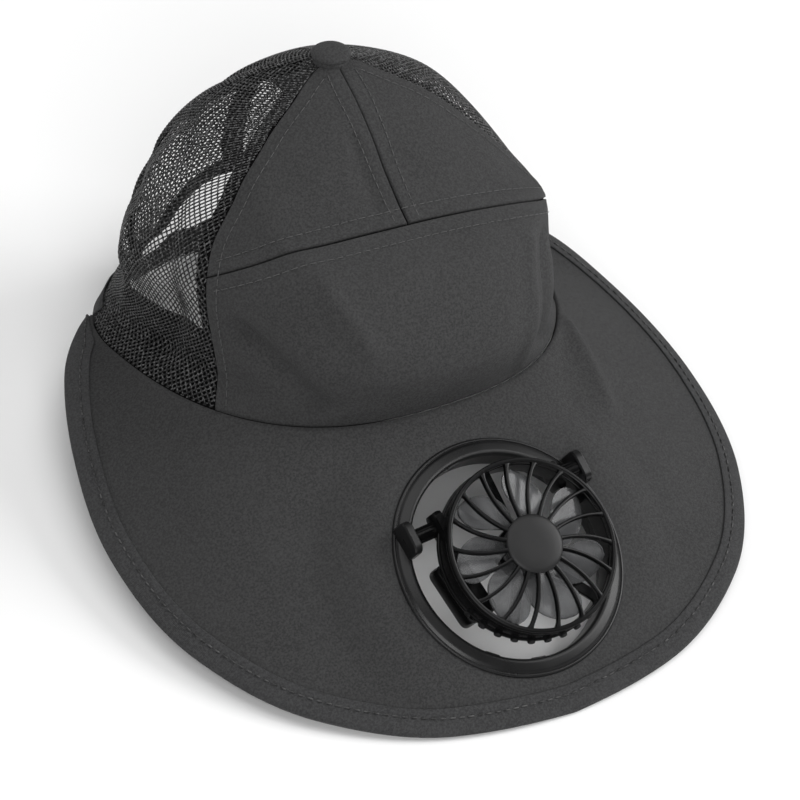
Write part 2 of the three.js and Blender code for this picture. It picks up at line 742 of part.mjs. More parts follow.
/** One twisted blade of the impeller. */
function blade(turn) {
  const steps = 3;
  const sections = Array.from({ length: steps + 1 }, (_, i) => {
    const u = i / steps;
    const radius = THREE.MathUtils.lerp(IMPELLER.hub - 0.8, IMPELLER.radius, u);
    const lead = turn + 0.35 * u;
    const sweep = THREE.MathUtils.lerp(0.5, 0.62, Math.sin(Math.PI * u)) * (1 - 0.25 * u ** 4);
    const rise = IMPELLER.height * THREE.MathUtils.lerp(0.8, 0.55, u);
    const middle = IMPELLER_BOTTOM + IMPELLER.height / 2;
    const corner = (side, offset) => {
      const angle = lead + (side * sweep) / 2;
      const height = middle + (side * rise) / 2 + offset;
      return new THREE.Vector3(radius * Math.cos(angle), radius * Math.sin(angle), height);
    };
    const half = IMPELLER.blade / 2;
    const under = [-1, 0, 1].map((side) => corner(side, -half));
    const over = [1, 0, -1].map((side) => corner(side, half));
    return [...under, ...over];
  });
  const flat = [[0, 0], [1, 0], [2, 0], [2, 1], [1, 1], [0, 1]].map(([x, y]) => new THREE.Vector2(x, y));
  return loft(sections, flat);
}

function impeller() {
  let whole = solid(rod(IMPELLER.hub, IMPELLER_BOTTOM, IMPELLER_TOP, 24));
  for (let i = 0; i < IMPELLER.blades; i++) {
    whole = whole.add(solid(blade((i * 2 * Math.PI) / IMPELLER.blades)));
  }
  return shapeOf(whole.subtract(solid(rod(MOTOR.axle + 0.35, -5, 30, 12))));
}

/** A bar with rounded ends and bevelled edges. */
function roundedBar(length, width, height, round, edge) {
  const x = length / 2;
  const y = width / 2;
  const outline = new THREE.Shape();
  outline.moveTo(-x + round, -y);
  outline.lineTo(x - round, -y);
  outline.absarc(x - round, -y + round, round, -Math.PI / 2, 0);
  outline.absarc(x - round, y - round, round, 0, Math.PI / 2);
  outline.absarc(-x + round, y - round, round, Math.PI / 2, Math.PI);
  outline.absarc(-x + round, -y + round, round, Math.PI, 1.5 * Math.PI);
  const options = {
    depth: height - 2 * edge,
    bevelThickness: edge,
    bevelSize: edge,
    bevelOffset: -edge,
    bevelSegments: 1,
    curveSegments: 2,
  };
  return new THREE.ExtrudeGeometry(outline, options).translate(0, 0, edge);
}

// Assembly

function named(name, geometry, look) {
  const mesh = new THREE.Mesh(geometry, look);
  mesh.name = name;
  return mesh;
}

const fan = new THREE.Group();
fan.position.set(0, HINGE.up, HINGE.height);
fan.rotation.set(HINGE.pitch, HINGE.yaw, HINGE.turn);
fan.add(named("fan_housing", fanHousing(), plasticLook()));

const fanAxis = new THREE.Group();
fanAxis.position.set(0, -FAN.below, 0);
fanAxis.add(named("grille", grille(), plasticLook()));
fanAxis.add(named("impeller", impeller(), material(0xb9bec4, 0.35)));

const controls = new THREE.Group();
controls.rotation.set(0, 0, BOX.angle - Math.PI / 2);
controls.position.set(0, 0, REAR - GAP - BOX.depth);
const boxMiddle = FAN_RADIUS - FAN.rim - BOX.width / 2;
const boxShape = roundedBar(BOX.length, BOX.width, BOX.depth, BOX.round, BOX.edge);
const controlBox = named("control_box", boxShape, plasticLook());
controlBox.position.set(0, boxMiddle, 0);
const knobShape = roundedBar(KNOB.length, KNOB.width, KNOB.height, KNOB.round, KNOB.edge);
const knob = named("power_button", knobShape, material(0x1d1d1e, 0.5));
knob.position.set(0, boxMiddle, -GAP - KNOB.height);
controls.add(controlBox, knob);
fanAxis.add(controls);
fan.add(fanAxis);

const seat = new THREE.Group();
seat.position.copy(SEAT_CENTRE);
seat.rotation.set(SEAT.pitch, SEAT.yaw, 0);
seat.add(named("mount_ring", mountRing(), plasticLook()));
seat.add(named("retaining_ring", retainer(), plasticLook()));
seat.add(fan);

const TOP = CROWN_ROWS[CROWN_ROWS.length - 1];
const button = named("button", buttonShape(), clothLook());
button.position.set(0, TOP.centre_y, (TOP.front_z + TOP.back_z) / 2 + BUTTON.lift);
button.rotation.set(BUTTON.lean, 0, 0);

const cap = new THREE.Group();
cap.add(named("front_panel", frontPanel(), clothLook()));
cap.add(named("upper_panel_left", upperPanel(1), clothLook()));
cap.add(named("upper_panel_right", upperPanel(-1), clothLook()));
cap.add(named("side_net_left", sideNet(1), netLook()));
cap.add(named("side_net_right", sideNet(-1), netLook()));
cap.add(named("back_net_left", backNet(1), netLook()));
cap.add(named("back_net_right", backNet(-1), netLook()));
cap.add(named("sweatband", sweatband(), clothLook()));
cap.add(named("size_strap_left", strapHalf(1, 0), netLook()));
cap.add(named("size_strap_right", strapHalf(-1, STRAP.thickness + 2 * GAP), netLook()));
cap.add(button);
cap.add(named("brim", brim(), clothLook()));
cap.add(named("brim_binding", brimBinding(), clothLook()));
cap.add(seat);

// The cap leans forward onto the brim's front edge
cap.rotation.set(-REST_TILT, 0, 0);
cap.position.set(0, -ORIGIN_Y, -FLOOR_HEIGHT);

const hat = new THREE.Group();
hat.add(cap);

export default hat;
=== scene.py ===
# %% [markdown]
# # A cap with a fan in its brim
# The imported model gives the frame: where every piece is, which body it rides on, and how large it is.
# This lesson keeps that frame and gives each piece its looks: cloth panels with turned seams and
# topstitching, a net that is really knitted from yarn, a bound brim, and a moulded fan. Every length
# below is in millimetres in the cap's own frame, as a maker would measure it, and is turned into metres
# only when a mesh is made.

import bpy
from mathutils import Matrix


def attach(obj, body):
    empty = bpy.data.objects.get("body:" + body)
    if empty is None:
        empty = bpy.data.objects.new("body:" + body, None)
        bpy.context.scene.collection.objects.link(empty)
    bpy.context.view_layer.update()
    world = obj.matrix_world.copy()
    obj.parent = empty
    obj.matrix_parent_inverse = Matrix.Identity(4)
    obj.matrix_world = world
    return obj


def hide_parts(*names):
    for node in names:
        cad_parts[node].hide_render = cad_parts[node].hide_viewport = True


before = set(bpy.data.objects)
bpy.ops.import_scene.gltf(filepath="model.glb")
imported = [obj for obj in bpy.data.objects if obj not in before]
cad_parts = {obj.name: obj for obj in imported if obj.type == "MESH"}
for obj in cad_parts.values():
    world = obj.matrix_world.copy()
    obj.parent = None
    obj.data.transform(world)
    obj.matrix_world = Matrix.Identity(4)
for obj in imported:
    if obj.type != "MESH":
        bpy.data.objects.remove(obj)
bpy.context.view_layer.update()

import math

import bpy
import numpy as np
from mathutils import Matrix, Vector

MM = 0.001
RADIAN = math.pi / 180

# %% [markdown]
# ## Sizes
# The crown is a stack of rounded sections, from the hem to the button. Each row says how far the section
# reaches to the front, the back and the sides, as shares of the crown's own sizes, and how square it is.
# A smooth curve through each column gives the surface between the rows. The brim's edge is a second short
# table.

# %% Tables of the crown and the brim
def table(names, rows, **sizes):
    """Rows as named columns; a column that has a size holds shares of it."""
    return {name: [row[i] * sizes.get(name, 1) for row in rows] for i, name in enumerate(names.split())}


CROWN_SIZE = dict(height=110, half_width=80, reach=96, climb=150)
SECTIONS = table(
    "front_z back_z half_x centre_y front back full_front full_back edge",
    [
        [0, 0, 1, 0, 1, 0.734, 2.42, 1.9, 1],
        [0.141, 0.095, 0.888, -0.089, 1.005, 0.833, 2.47, 2.1, 1.15],
        [0.318, 0.209, 0.888, -0.151, 0.917, 0.781, 2.52, 1.95, 1.19],
        [0.468, 0.332, 0.919, -0.151, 0.844, 0.708, 2.48, 1.95, 1.125],
        [0.573, 0.468, 0.856, -0.125, 0.693, 0.656, 2.31, 1.9, 1.045],
        [0.691, 0.645, 0.744, -0.141, 0.547, 0.557, 2.1, 2, 0.925],
        [0.805, 0.823, 0.569, -0.188, 0.401, 0.385, 1.96, 2.02, 0.865],
        [0.895, 0.941, 0.3, -0.281, 0.208, 0.229, 1.9, 2, 0.955],
        [0.977, 0.995, 0.056, -0.328, 0.047, 0.047, 2, 2, 1.2],
    ],
    front_z=CROWN_SIZE["height"],
    back_z=CROWN_SIZE["height"],
    half_x=CROWN_SIZE["half_width"],
    centre_y=CROWN_SIZE["reach"],
    front=CROWN_SIZE["reach"],
    back=CROWN_SIZE["reach"],
)
BRIM = dict(reach=173.3, drop=85.9, thickness=2.0, end=114 * RADIAN)
BRIM_EDGE = table(
    "angle reach z",
    [
        [0, 1, -1],
        [15, 0.997, -0.962],
        [30, 0.972, -0.846],
        [45, 0.902, -0.654],
        [60, 0.789, -0.409],
        [75, 0.665, -0.155],
        [90, 0.567, 0.036],
        [105, 0.488, 0.1],
        [120, 0.444, 0.1],
    ],
    reach=BRIM["reach"],
    z=BRIM["drop"],
)
GAP = 0.3  # the working clearance between pieces
HEM = dict(lift=8.5, sway=1.4, fade=0.45)
BROW = dict(middle=0.495, fall=0.0873, skew=0.029)
BROW_EDGE = SECTIONS["edge"][3]
CLOTH, NET = 1.6, 1.2  # thickness
SIDE_SEAM = 125 * RADIAN
SWEATBAND = dict(height=0.23, thickness=1.4, clearance=0.9, end=140 * RADIAN)
ARCH = dict(half_angle=30 * RADIAN, top=0.38, square=2.4, shoulder=0.6)
STRAP = dict(half_angle=38 * RADIAN, top=0.17, thickness=1.3, clearance=0.8, lap=6 * RADIAN, tuck=2.7)
BUTTON = dict(radius=7.0, height=3.5, lean=11 * RADIAN, lift=0.5)
BINDING = dict(width=9.5, tape=0.6, web=0.8, ease=0.2)
SEAT = dict(share=0.5, pitch=47.8 * RADIAN, yaw=3 * RADIAN, side=-0.8, flat=46, blend=68)
HANDS = dict(left=1, right=-1)
REST_FRONT, REST_BACK, ORIGIN_Y = (-BRIM["reach"], -BRIM["drop"] - 0.1), (68.5, 1.6), -61.865


# %% [markdown]
# ## From the cap's frame to the floor
# The cap leans forward until the brim's front edge and the hem at the back both touch the floor. One turn
# about the X axis and one move do that, and the same matrix serves every piece, so nothing is fitted by
# eye.

# %% The resting cap
REST_TILT = math.atan2(REST_BACK[1] - REST_FRONT[1], REST_BACK[0] - REST_FRONT[0])
FLOOR_NORMAL = np.array([0, -math.sin(REST_TILT), math.cos(REST_TILT)])
FLOOR_HEIGHT = float(FLOOR_NORMAL @ np.array([0, REST_BACK[0], REST_BACK[1]]))
CAP = Matrix.Translation((0, -ORIGIN_Y, -FLOOR_HEIGHT)) @ Matrix.Rotation(-REST_TILT, 4, "X")


def rested(points, layer=0.0):
    """Cloth that would reach below the floor, or below a layer of cloth on the floor, lies flat on it."""
    below = np.maximum(FLOOR_HEIGHT + layer - points @ FLOOR_NORMAL, 0)
    return points + below[..., None] * FLOOR_NORMAL


print("the cap leans", round(REST_TILT / RADIAN, 2), "degrees")


# %% [markdown]
# ## The crown's surface
# A point on the crown is named by an angle round the head and a share of the way up. Working on whole
# arrays of such pairs at once keeps even a fine net quick to make.

# %% Smooth columns and the crown's surface
def smooth_column(values):
    """A smooth curve through evenly spaced values that never overshoots them."""
    values = np.asarray(values, float)
    step = np.diff(values)
    slope = np.concatenate([step[:1], np.zeros(len(values) - 2), step[-1:]])
    product, total = step[:-1] * step[1:], step[:-1] + step[1:]
    slope[1:-1] = np.where(product > 0, 2 * product / np.where(product > 0, total, 1), 0)

    def curve(share):
        place = np.clip(share, 0, 1) * (len(values) - 1)
        i = np.minimum(place.astype(int), len(values) - 2)
        u = place - i
        v = 1 - u
        rise = (1 + 2 * u) * v * v * values[i] + u * u * (3 - 2 * u) * values[i + 1]
        return rise + u * v * v * slope[i] - u * u * v * slope[i + 1]

    return curve


CROWN = {name: smooth_column(values) for name, values in SECTIONS.items()}
EDGE = {name: smooth_column(values) for name, values in BRIM_EDGE.items()}
EDGE_SPAN = BRIM_EDGE["angle"][-1] * RADIAN


def pair(a, b):
    return np.broadcast_arrays(np.asarray(a, float), np.asarray(b, float))


def signed_power(value, power):
    return np.sign(value) * np.abs(value) ** power


def crown_point(angle, share):
    angle, share = pair(angle, share)
    c, s = np.cos(angle), np.sin(angle)
    ahead = c > 0
    power = 2 / np.where(ahead, CROWN["full_front"](share), CROWN["full_back"](share))
    centre = CROWN["centre_y"](share)
    front, back = CROWN["front"](share), CROWN["back"](share)
    y = centre - np.where(ahead, front, back) * signed_power(c, power)
    slant = (y - centre + front) / (front + back)
    fade = np.maximum(0, 1 - share / HEM["fade"]) ** 2
    lift = HEM["lift"] / 2 * (1 - np.cos(2 * angle)) + HEM["sway"] * (np.cos(3 * angle) - c)
    z = CROWN["front_z"](share) * (1 - slant) + CROWN["back_z"](share) * slant + lift * fade
    return np.stack([CROWN["half_x"](share) * signed_power(s, power), y, z], -1)


def unit(vectors):
    return vectors / np.maximum(np.linalg.norm(vectors, axis=-1, keepdims=True), 1e-9)


def crown_normal(angle, share, step=0.03):
    angle, share = pair(angle, share)
    along = crown_point(angle + step, share) - crown_point(angle - step, share)
    up = crown_point(angle, np.minimum(1, share + step)) - crown_point(angle, np.maximum(0, share - step))
    return unit(np.cross(along, up))


def angle_for(distance, angle, share, step=0.02):
    """The angle that a distance along the section covers at this place."""
    length = np.linalg.norm(crown_point(angle + step, share) - crown_point(angle - step, share), axis=-1)
    return distance * 2 * step / length


def brow_share(angle):
    return BROW["middle"] - BROW["fall"] * angle**2 - BROW["skew"] * angle


print("crown top", np.round(crown_point(0.0, 1.0), 1))


# %% [markdown]
# ## Folds
# Real cloth never follows a smooth form exactly. Each fold is a line on the crown with a width and a
# height: positive stands out, negative is a dent. Summing a few of them is quicker to steer than a cloth
# simulation, and it keeps the seams of neighbouring panels together because they all read the same sum.

# %% Folds of the crown
UP = CROWN_SIZE["climb"]  # the way up the crown, along the cloth
ROUND_HEAD = 76.0  # millimetres to a radian round the crown
FOLDS = [  # angle and share of both ends, width, height
    (-0.80, 0.66, -0.33, 0.27, 9.0, 1.3),
    (-0.46, 0.38, -0.33, 0.22, 4.0, 1.2),
    (-1.00, 0.27, -0.58, 0.07, 4.8, -4.4),
    (-0.80, 0.10, -0.45, 0.04, 7.0, 1.0),
    (0.53, 0.34, 0.36, 0.04, 4.0, 1.5),
    (0.74, 0.30, 0.60, 0.07, 5.8, -3.0),
    (-0.16, 0.74, -0.10, 0.56, 4.0, -1.1),
    (0.30, 0.62, 0.70, 0.56, 12.0, 0.9),
    (-0.10, 0.30, 0.20, 0.18, 12.0, 0.8),
    (-1.45, 0.10, -1.35, 0.62, 6.0, -2.0),
    (-1.85, 0.22, -1.70, 0.70, 7.0, 1.6),
    (-2.20, 0.30, -2.05, 0.66, 6.0, -2.0),
    (-1.62, 0.52, -2.30, 0.60, 7.0, -1.8),
    (1.55, 0.20, 1.75, 0.60, 8.0, -1.6),
    (2.05, 0.25, 2.25, 0.65, 8.0, 1.5),
    (-2.75, 0.50, -2.60, 0.80, 9.0, -1.5),
    (2.75, 0.50, 2.60, 0.80, 9.0, -1.5),
]


def along_line(x, y, x0, y0, x1, y1):
    """Distance from a line's nearest point."""
    dx, dy = x1 - x0, y1 - y0
    t = np.clip(((x - x0) * dx + (y - y0) * dy) / (dx * dx + dy * dy), 0, 1)
    return np.hypot(x - x0 - t * dx, y - y0 - t * dy)


def creased(lines, angle, share, wide, high):
    """The sum of some folds, on a cloth so many millimetres to a radian and to the whole way up."""
    x, y = angle * wide, share * high
    relief = np.zeros_like(x)
    for a0, s0, a1, s1, width, height in lines:
        distance = along_line(x, y, a0 * wide, s0 * high, a1 * wide, s1 * high)
        relief += height * np.exp(-((distance / width) ** 2))
    return relief


def crown_relief(angle, share):
    relief = creased(FOLDS, angle, share, ROUND_HEAD, UP)
    return relief * np.minimum(1, share / 0.05) * np.minimum(1, (1 - share) / 0.1)


def crown_at(angle, share, depth=0.0):
    """The crown's surface with its folds, sunk below its outside by a depth."""
    angle, share = pair(angle, share)
    out = crown_relief(angle, share) - depth
    return rested(crown_point(angle, share) + crown_normal(angle, share) * out[..., None])


# %% [markdown]
# ## Meshes
# A shell is two grids of points, outside and inside, joined round their edges. A yarn, a thread or a tape
# is a section moved along a path. A turned piece is an outline spun about its axis. These helpers make
# points and faces with numpy, and one function turns them into a Blender object, in metres and on its
# body.

# %% Faces of grids and rings
def grid_faces(rows, cols, start=0):
    corner = start + np.arange((rows - 1) * cols).reshape(rows - 1, cols)[:, :-1]
    return np.stack([corner, corner + 1, corner + cols + 1, corner + cols], -1).reshape(-1, 4)


def ring_faces(sections, count, closed=False):
    """Faces between sections of equal count; closed joins the last section to the first."""
    here = np.arange(sections if closed else sections - 1)[:, None] * count
    there = (here + count) % (sections * count)
    a, b = np.arange(count), (np.arange(count) + 1) % count
    return np.stack([here + a, here + b, there + b, there + a], -1).reshape(-1, 4)


def end_faces(sections, count):
    """Strips of quads across the first and the last section."""
    return np.array([
        [base + low, base + low + 1, base + count - low - 2, base + count - low - 1]
        for base in (0, (sections - 1) * count)
        for low in range((count - 2) // 2)
    ])


# %% Shells and joined parts
def shell(outer, inner):
    rows, cols = outer.shape[:2]
    points = np.concatenate([outer.reshape(-1, 3), inner.reshape(-1, 3)])
    n = rows * cols
    index = np.arange(n).reshape(rows, cols)
    border = np.concatenate([index[0], index[1:, -1], index[-1, -2::-1], index[-2:0:-1, 0]])
    following = np.roll(border, -1)
    wall = np.stack([border, border + n, following + n, following], -1)
    return points, np.concatenate([grid_faces(rows, cols), grid_faces(rows, cols, n)[:, ::-1], wall])


def facing_out(points, faces):
    a, b, c, d = (points[faces[:, i]] for i in range(4))
    volume = np.einsum("ij,ij->", a, np.cross(b, c)) + np.einsum("ij,ij->", a, np.cross(c, d))
    return faces if volume > 0 else faces[:, ::-1]


def joined(*parts):
    """Several (points, faces) as one."""
    points, faces, start = [], [], 0
    for p, f in parts:
        points.append(p)
        faces.append(facing_out(p, f) + start)
        start += len(p)
    return np.concatenate(points), np.concatenate(faces)


# %% From points and faces to a piece
def mapped(matrix, points):
    m = np.array(matrix)
    return points @ m[:3, :3].T + m[:3, 3]


def piece(name, shape, finish, body="cap", slot=None, stands_for=(), matrix=CAP, uv=None, sharp=None):
    points, faces = shape
    mesh = bpy.data.meshes.new(name)
    mesh.vertices.add(len(points))
    mesh.vertices.foreach_set("co", (mapped(matrix, points) * MM).astype(np.float32).ravel())
    faces = facing_out(points, faces)
    mesh.loops.add(faces.size)
    mesh.loops.foreach_set("vertex_index", faces.ravel().astype(np.int32))
    mesh.polygons.add(len(faces))
    mesh.polygons.foreach_set("loop_start", np.arange(0, faces.size, 4, dtype=np.int32))
    if uv is not None:
        layer = mesh.uv_layers.new(name="cloth")
        layer.data.foreach_set("uv", uv[faces.ravel()].astype(np.float32).ravel())
    mesh.update(calc_edges=True)
    mesh.validate()
    mesh.polygons.foreach_set("use_smooth", np.ones(len(mesh.polygons), bool))
    if sharp is not None:
        mesh.set_sharp_from_angle(angle=sharp * RADIAN)
    mesh.materials.append(finish)
    made = bpy.data.objects.new(name, mesh)
    bpy.context.scene.collection.objects.link(made)
    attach(made, body)
    if stands_for:
        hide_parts(*stands_for)
    print(name, 2 * len(faces), "triangles")


# %% Tubes and turned forms
def tube(path, side, up, section):
    """A section (two columns: across, up) moved along a path with its own side and up directions."""
    size = len(path), len(section)
    rings = path[:, None] + side[:, None] * section[None, :, :1] + up[:, None] * section[None, :, 1:]
    return rings.reshape(-1, 3), np.concatenate([ring_faces(*size), end_faces(*size)])


def round_section(across, up, sides):
    turn = (np.arange(sides) + 0.5) * 2 * math.pi / sides
    return np.stack([across * np.cos(turn), up * np.sin(turn)], -1)


ON_AXIS = 1e-4  # a radius this small is the axis itself


def turned(profile, sides):
    """An outline of (radius, height) pairs, closed from its last point to its first, spun about Z."""
    outline = np.array(profile, float)
    turn = np.arange(sides) * 2 * math.pi / sides
    radius, height = outline[:, None, 0], np.repeat(outline[:, 1:], sides, 1)
    rings = np.stack([radius * np.cos(turn), radius * np.sin(turn), height], -1)
    return rings.reshape(-1, 3), ring_faces(len(outline), sides, closed=True)


# %% Outlines and plates
def rounded(corners, radius, steps):
    """A closed outline with its corners rounded; radius is one number, or one for each corner."""
    corners = np.array(corners, float)
    radii = np.broadcast_to(radius, len(corners))
    out = []
    for i, (corner, r) in enumerate(zip(corners, radii)):
        to_last, to_next = corners[i - 1] - corner, corners[(i + 1) % len(corners)] - corner
        cut = min(r, np.linalg.norm(to_last) * 0.49, np.linalg.norm(to_next) * 0.49)
        start, end = corner + unit(to_last) * cut, corner + unit(to_next) * cut
        for t in np.linspace(0, 1, steps):
            out.append((1 - t) ** 2 * start + 2 * t * (1 - t) * corner + t * t * end)
    return np.array(out)


def block(half, low, high, radius, steps):
    """A rectangle with rounded corners, as wide to both sides, from low to high."""
    return rounded([(-half, low), (half, low), (half, high), (-half, high)], radius, steps)


def slab(outline, low, high, edge):
    """A flat outline made into a plate between two heights, with eased edges, filled from its middle."""
    middle, count = outline.mean(0), len(outline)
    inset = outline + unit(middle - outline) * edge
    levels = [(inset, low), (outline, low + edge), (outline, high - edge), (inset, high)]
    rings = [np.column_stack([ring, np.full(count, z)]) for ring, z in levels]
    middles = [np.tile([[*middle, z]], (count, 1)) for z in (low, high)]
    k = np.arange(count)
    n = (k + 1) % count
    bottom = np.stack([k, 4 * count + k, 4 * count + n, n], -1)
    top = np.stack([3 * count + n, 5 * count + n, 5 * count + k, 3 * count + k], -1)
    return np.concatenate([*rings, *middles]), np.concatenate([ring_faces(4, count), bottom, top])


# %% [markdown]
# ## Shader maths as expressions
# Materials here are formulas: a weave is two waves multiplied, a worn edge is a mask times a colour.
# Wrapping a node's socket in a small class lets a formula be written as Python, and each operator adds
# the Math node for it.

# %% The shader sockets' class
class Value:
    """A number that varies over a surface."""

    def __init__(self, tree, socket):
        self.tree, self.socket = tree, socket

    def math(self, operation, *others):
        made = add_node(self.tree, "ShaderNodeMath", dict(operation=operation))
        for place, other in enumerate((self, *others)):
            plug(self.tree, made.inputs[place], other)
        return Value(self.tree, made.outputs[0])

    def __add__(self, other):
        return self.math("ADD", other)

    __radd__ = __add__

    def __mul__(self, other):
        return self.math("MULTIPLY", other)

    __rmul__ = __mul__

    def __sub__(self, other):
        return self.math("SUBTRACT", other)

    def __rsub__(self, other):
        return (self * -1) + other

    def __pow__(self, other):
        return self.math("POWER", other)

    def sine(self):
        return self.math("SINE")

    def size(self):
        return self.math("ABSOLUTE")

    def between(self, low, high):
        """0 below low, 1 above high, and smooth in between."""
        smooth_range = dict(interpolation_type="SMOOTHSTEP")
        ends = dict(From_Min=low, From_Max=high)
        made = add_node(self.tree, "ShaderNodeMapRange", smooth_range, Value=self, **ends)
        return Value(self.tree, made.outputs[0])


# %% Nodes and their sockets
def plug(tree, socket, value):
    """A socket gets a link, or else a plain value."""
    if isinstance(value, Value):
        value = value.socket
    if isinstance(value, bpy.types.NodeSocket):
        tree.links.new(value, socket)
    else:
        socket.default_value = value


def add_node(tree, kind, settings=None, **sockets):
    """A node of any kind: its settings first, then the values or links of its sockets."""
    made = tree.nodes.new(kind)
    for name, setting in (settings or {}).items():
        setattr(made, name, setting)
    for name, value in sockets.items():
        plug(tree, made.inputs[name.replace("_", " ")], value)
    return made


MIX_MASK, MIX_FIRST, MIX_SECOND, MIX_COLOUR = 0, 6, 7, 2  # the colour sockets of a Mix node


def mixed(tree, mask, first, second):
    """Two colours mixed by a mask."""
    made = add_node(tree, "ShaderNodeMix", dict(data_type="RGBA"))
    plug(tree, made.inputs[MIX_MASK], mask)
    for place, colour in ((MIX_FIRST, first), (MIX_SECOND, second)):
        plug(tree, made.inputs[place], (*colour, 1) if isinstance(colour, tuple) else colour)
    return made.outputs[MIX_COLOUR]


# %% Finishes and what varies in them
def finish(name, recipe, **shader):
    """A material: uniform values go straight to the shader, and the recipe adds what varies."""
    material = bpy.data.materials.new(name)
    material.use_nodes = True
    tree = material.node_tree
    surface = tree.nodes["Principled BSDF"]
    for socket, value in shader.items():
        surface.inputs[socket.replace("_", " ")].default_value = value
    recipe(tree, surface)
    return material


def noise(tree, scale, detail=3.0, rough=0.55):
    where = add_node(tree, "ShaderNodeTexCoord").outputs["Object"]
    made = add_node(tree, "ShaderNodeTexNoise", Vector=where, Scale=scale, Detail=detail, Roughness=rough)
    return Value(tree, made.outputs["Fac"])


def cloth_axes(tree):
    """The cloth's own two directions, in millimetres along the weft and the warp."""
    where = add_node(tree, "ShaderNodeUVMap", dict(uv_map="cloth")).outputs[0]
    parts = add_node(tree, "ShaderNodeSeparateXYZ", Vector=where)
    return Value(tree, parts.outputs[0]), Value(tree, parts.outputs[1])


def bumped(tree, surface, height, distance):
    made = add_node(tree, "ShaderNodeBump", Height=height, Distance=distance, Strength=1.0)
    tree.links.new(made.outputs[0], surface.inputs["Normal"])


# %% [markdown]
# ## Cloth
# The panels and the brim are a tightly woven cotton blend: a plain weave about a third of a millimetre to
# the thread, charcoal, with hardly any sheen. The weave is two crossed waves, with a little slub noise so
# that it doesn't look printed. The colour drifts slightly over the cloth.

# %% Woven cloth
def grey(level, blue=0.0):
    return level, level, level + blue


def times(factor, colour):
    return tuple(factor * c for c in colour)


def woven(pitch, deep, light, depth, drift=22.0):
    def recipe(tree, surface):
        across, along = cloth_axes(tree)
        slub = noise(tree, 900.0, 2.0) - 0.5
        weft = (across * (math.pi / pitch) + slub * 1.5).sine().size()
        warp = (along * (math.pi / pitch) + slub * 1.5).sine().size()
        thread = (weft * warp) ** 0.6
        patch = noise(tree, drift, 4.0, 0.6).between(0.3, 0.75)
        fleck = noise(tree, 1500.0, 1.0).between(0.45, 0.8)
        slubs = noise(tree, 1250.0, 2.0, 0.6).between(0.36, 0.66)
        body = mixed(tree, patch, deep, light)
        shade = mixed(tree, (1 - thread) * 0.55, body, times(0.35, deep))
        lit = mixed(tree, fleck * 0.3, shade, times(1.9, light))
        colour = mixed(tree, slubs * 0.55, lit, times(1.5, light))
        tree.links.new(colour, surface.inputs["Base Color"])
        bumped(tree, surface, thread + noise(tree, 420.0, 3.0) * 1.6, depth)

    return recipe


cloth = finish(
    "charcoal_weave",
    woven(0.36, grey(0.0345, 0.0005), grey(0.042, 0.0005), 0.00009),
    Roughness=0.88,
    Specular_IOR_Level=0.15,
    Sheen_Weight=0.03,
    Sheen_Roughness=0.5,
)
tape = finish(
    "binding_tape",
    woven(0.45, grey(0.036, 0.001), grey(0.044, 0.001), 0.00012, 60.0),
    Roughness=0.86,
    Specular_IOR_Level=0.15,
    Sheen_Weight=0.03,
)
# Nearly black: dark cloth, darkened further as painted shade for the inside of the cap, where little light
# falls.
band_cloth_painted_shade = finish(
    "band_cloth_painted_shade",
    woven(0.5, grey(0.006, 0.0002), grey(0.010, 0.0003), 0.00012, 40.0),
    Roughness=0.95,
    Specular_IOR_Level=0.05,
)


# %% [markdown]
# ## Thread and yarn
# Sewing thread and net yarn are real geometry here, so their materials only need the fine twist along the
# strand and a change of tone. The crown's thread is a shade lighter than the cloth, which is why the rows
# of topstitching read as fine pale dashes. The binding's thread is painted nearly black, as painted shade
# in its stitch holes, with pale flecks as painted highlights, and the yarn is dark with pale flecks that
# are painted highlights too.

# %% Twisted strands
def strand(deep, light, twist, spread=(0.3, 0.7)):
    def recipe(tree, surface):
        # tone mixes the strand's two colours: for the yarn and the binding thread the pale colour is
        # painted highlight, and the binding thread's dark colour is painted shade; for the crown's thread
        # both are its own tones.
        tone = noise(tree, twist, 2.0).between(*spread)
        tree.links.new(mixed(tree, tone, deep, light), surface.inputs["Base Color"])
        bumped(tree, surface, noise(tree, twist * 2, 1.0), 0.00005)

    return recipe


thread = finish("sewing_thread", strand(grey(0.05), grey(0.085), 1400.0), Roughness=0.65)
# The binding's thread: nearly black as painted shade in its stitch holes, with pale flecks as painted
# highlights.
painted_shade_thread = finish("binding_thread_painted_shade", strand(grey(0.003), grey(0.07), 420.0), Roughness=0.65)
# The net yarn: dark, with pale flecks along it that are painted highlights.
yarn = finish(
    "net_yarn_painted_highlights",
    strand(grey(0.008, 0.0002), grey(0.15, 0.001), 1350.0, (0.45, 0.70)),
    Roughness=0.5,
    Specular_IOR_Level=0.25,
)


# %% [markdown]
# ## Panels
# A panel is a shell whose edges are turned under, so two panels that meet leave a fine dark groove, which
# is the seam. Beside a seam the cloth is thicker, because the allowance is pressed flat under it and held
# by a row of topstitching, which pulls the cloth in a little. All of that is a profile of height against
# the distance to the nearest seam.

# %% Panels with turned edges and pressed seams
STITCH_AT = 5.2  # from the seam to the row of topstitching
TURN = 0.9  # radius of the turned edge
PRESSED = dict(height=0.16, beyond=0.9, fade=0.6)  # the seam allowance under the cloth
PULLED = dict(depth=0.14, width=0.5)  # the cloth along a row of stitches
SHARE_GAP = GAP / UP


def turned_edge(distance):
    turn = np.clip(distance / TURN, 0, 1)
    return -TURN * 0.8 * (1 - np.sqrt(1 - (1 - turn) ** 2))


def pressed_seam(distance):
    """Height of the cloth near a seam: the turned edge, the pressed allowance, the row of stitches."""
    past = (distance - STITCH_AT - PRESSED["beyond"]) / PRESSED["fade"]
    allowance = PRESSED["height"] * (1 - 1 / (1 + np.exp(-past)))
    pull = PULLED["depth"] * np.exp(-(((distance - STITCH_AT) / PULLED["width"]) ** 2))
    return turned_edge(distance) + allowance - pull


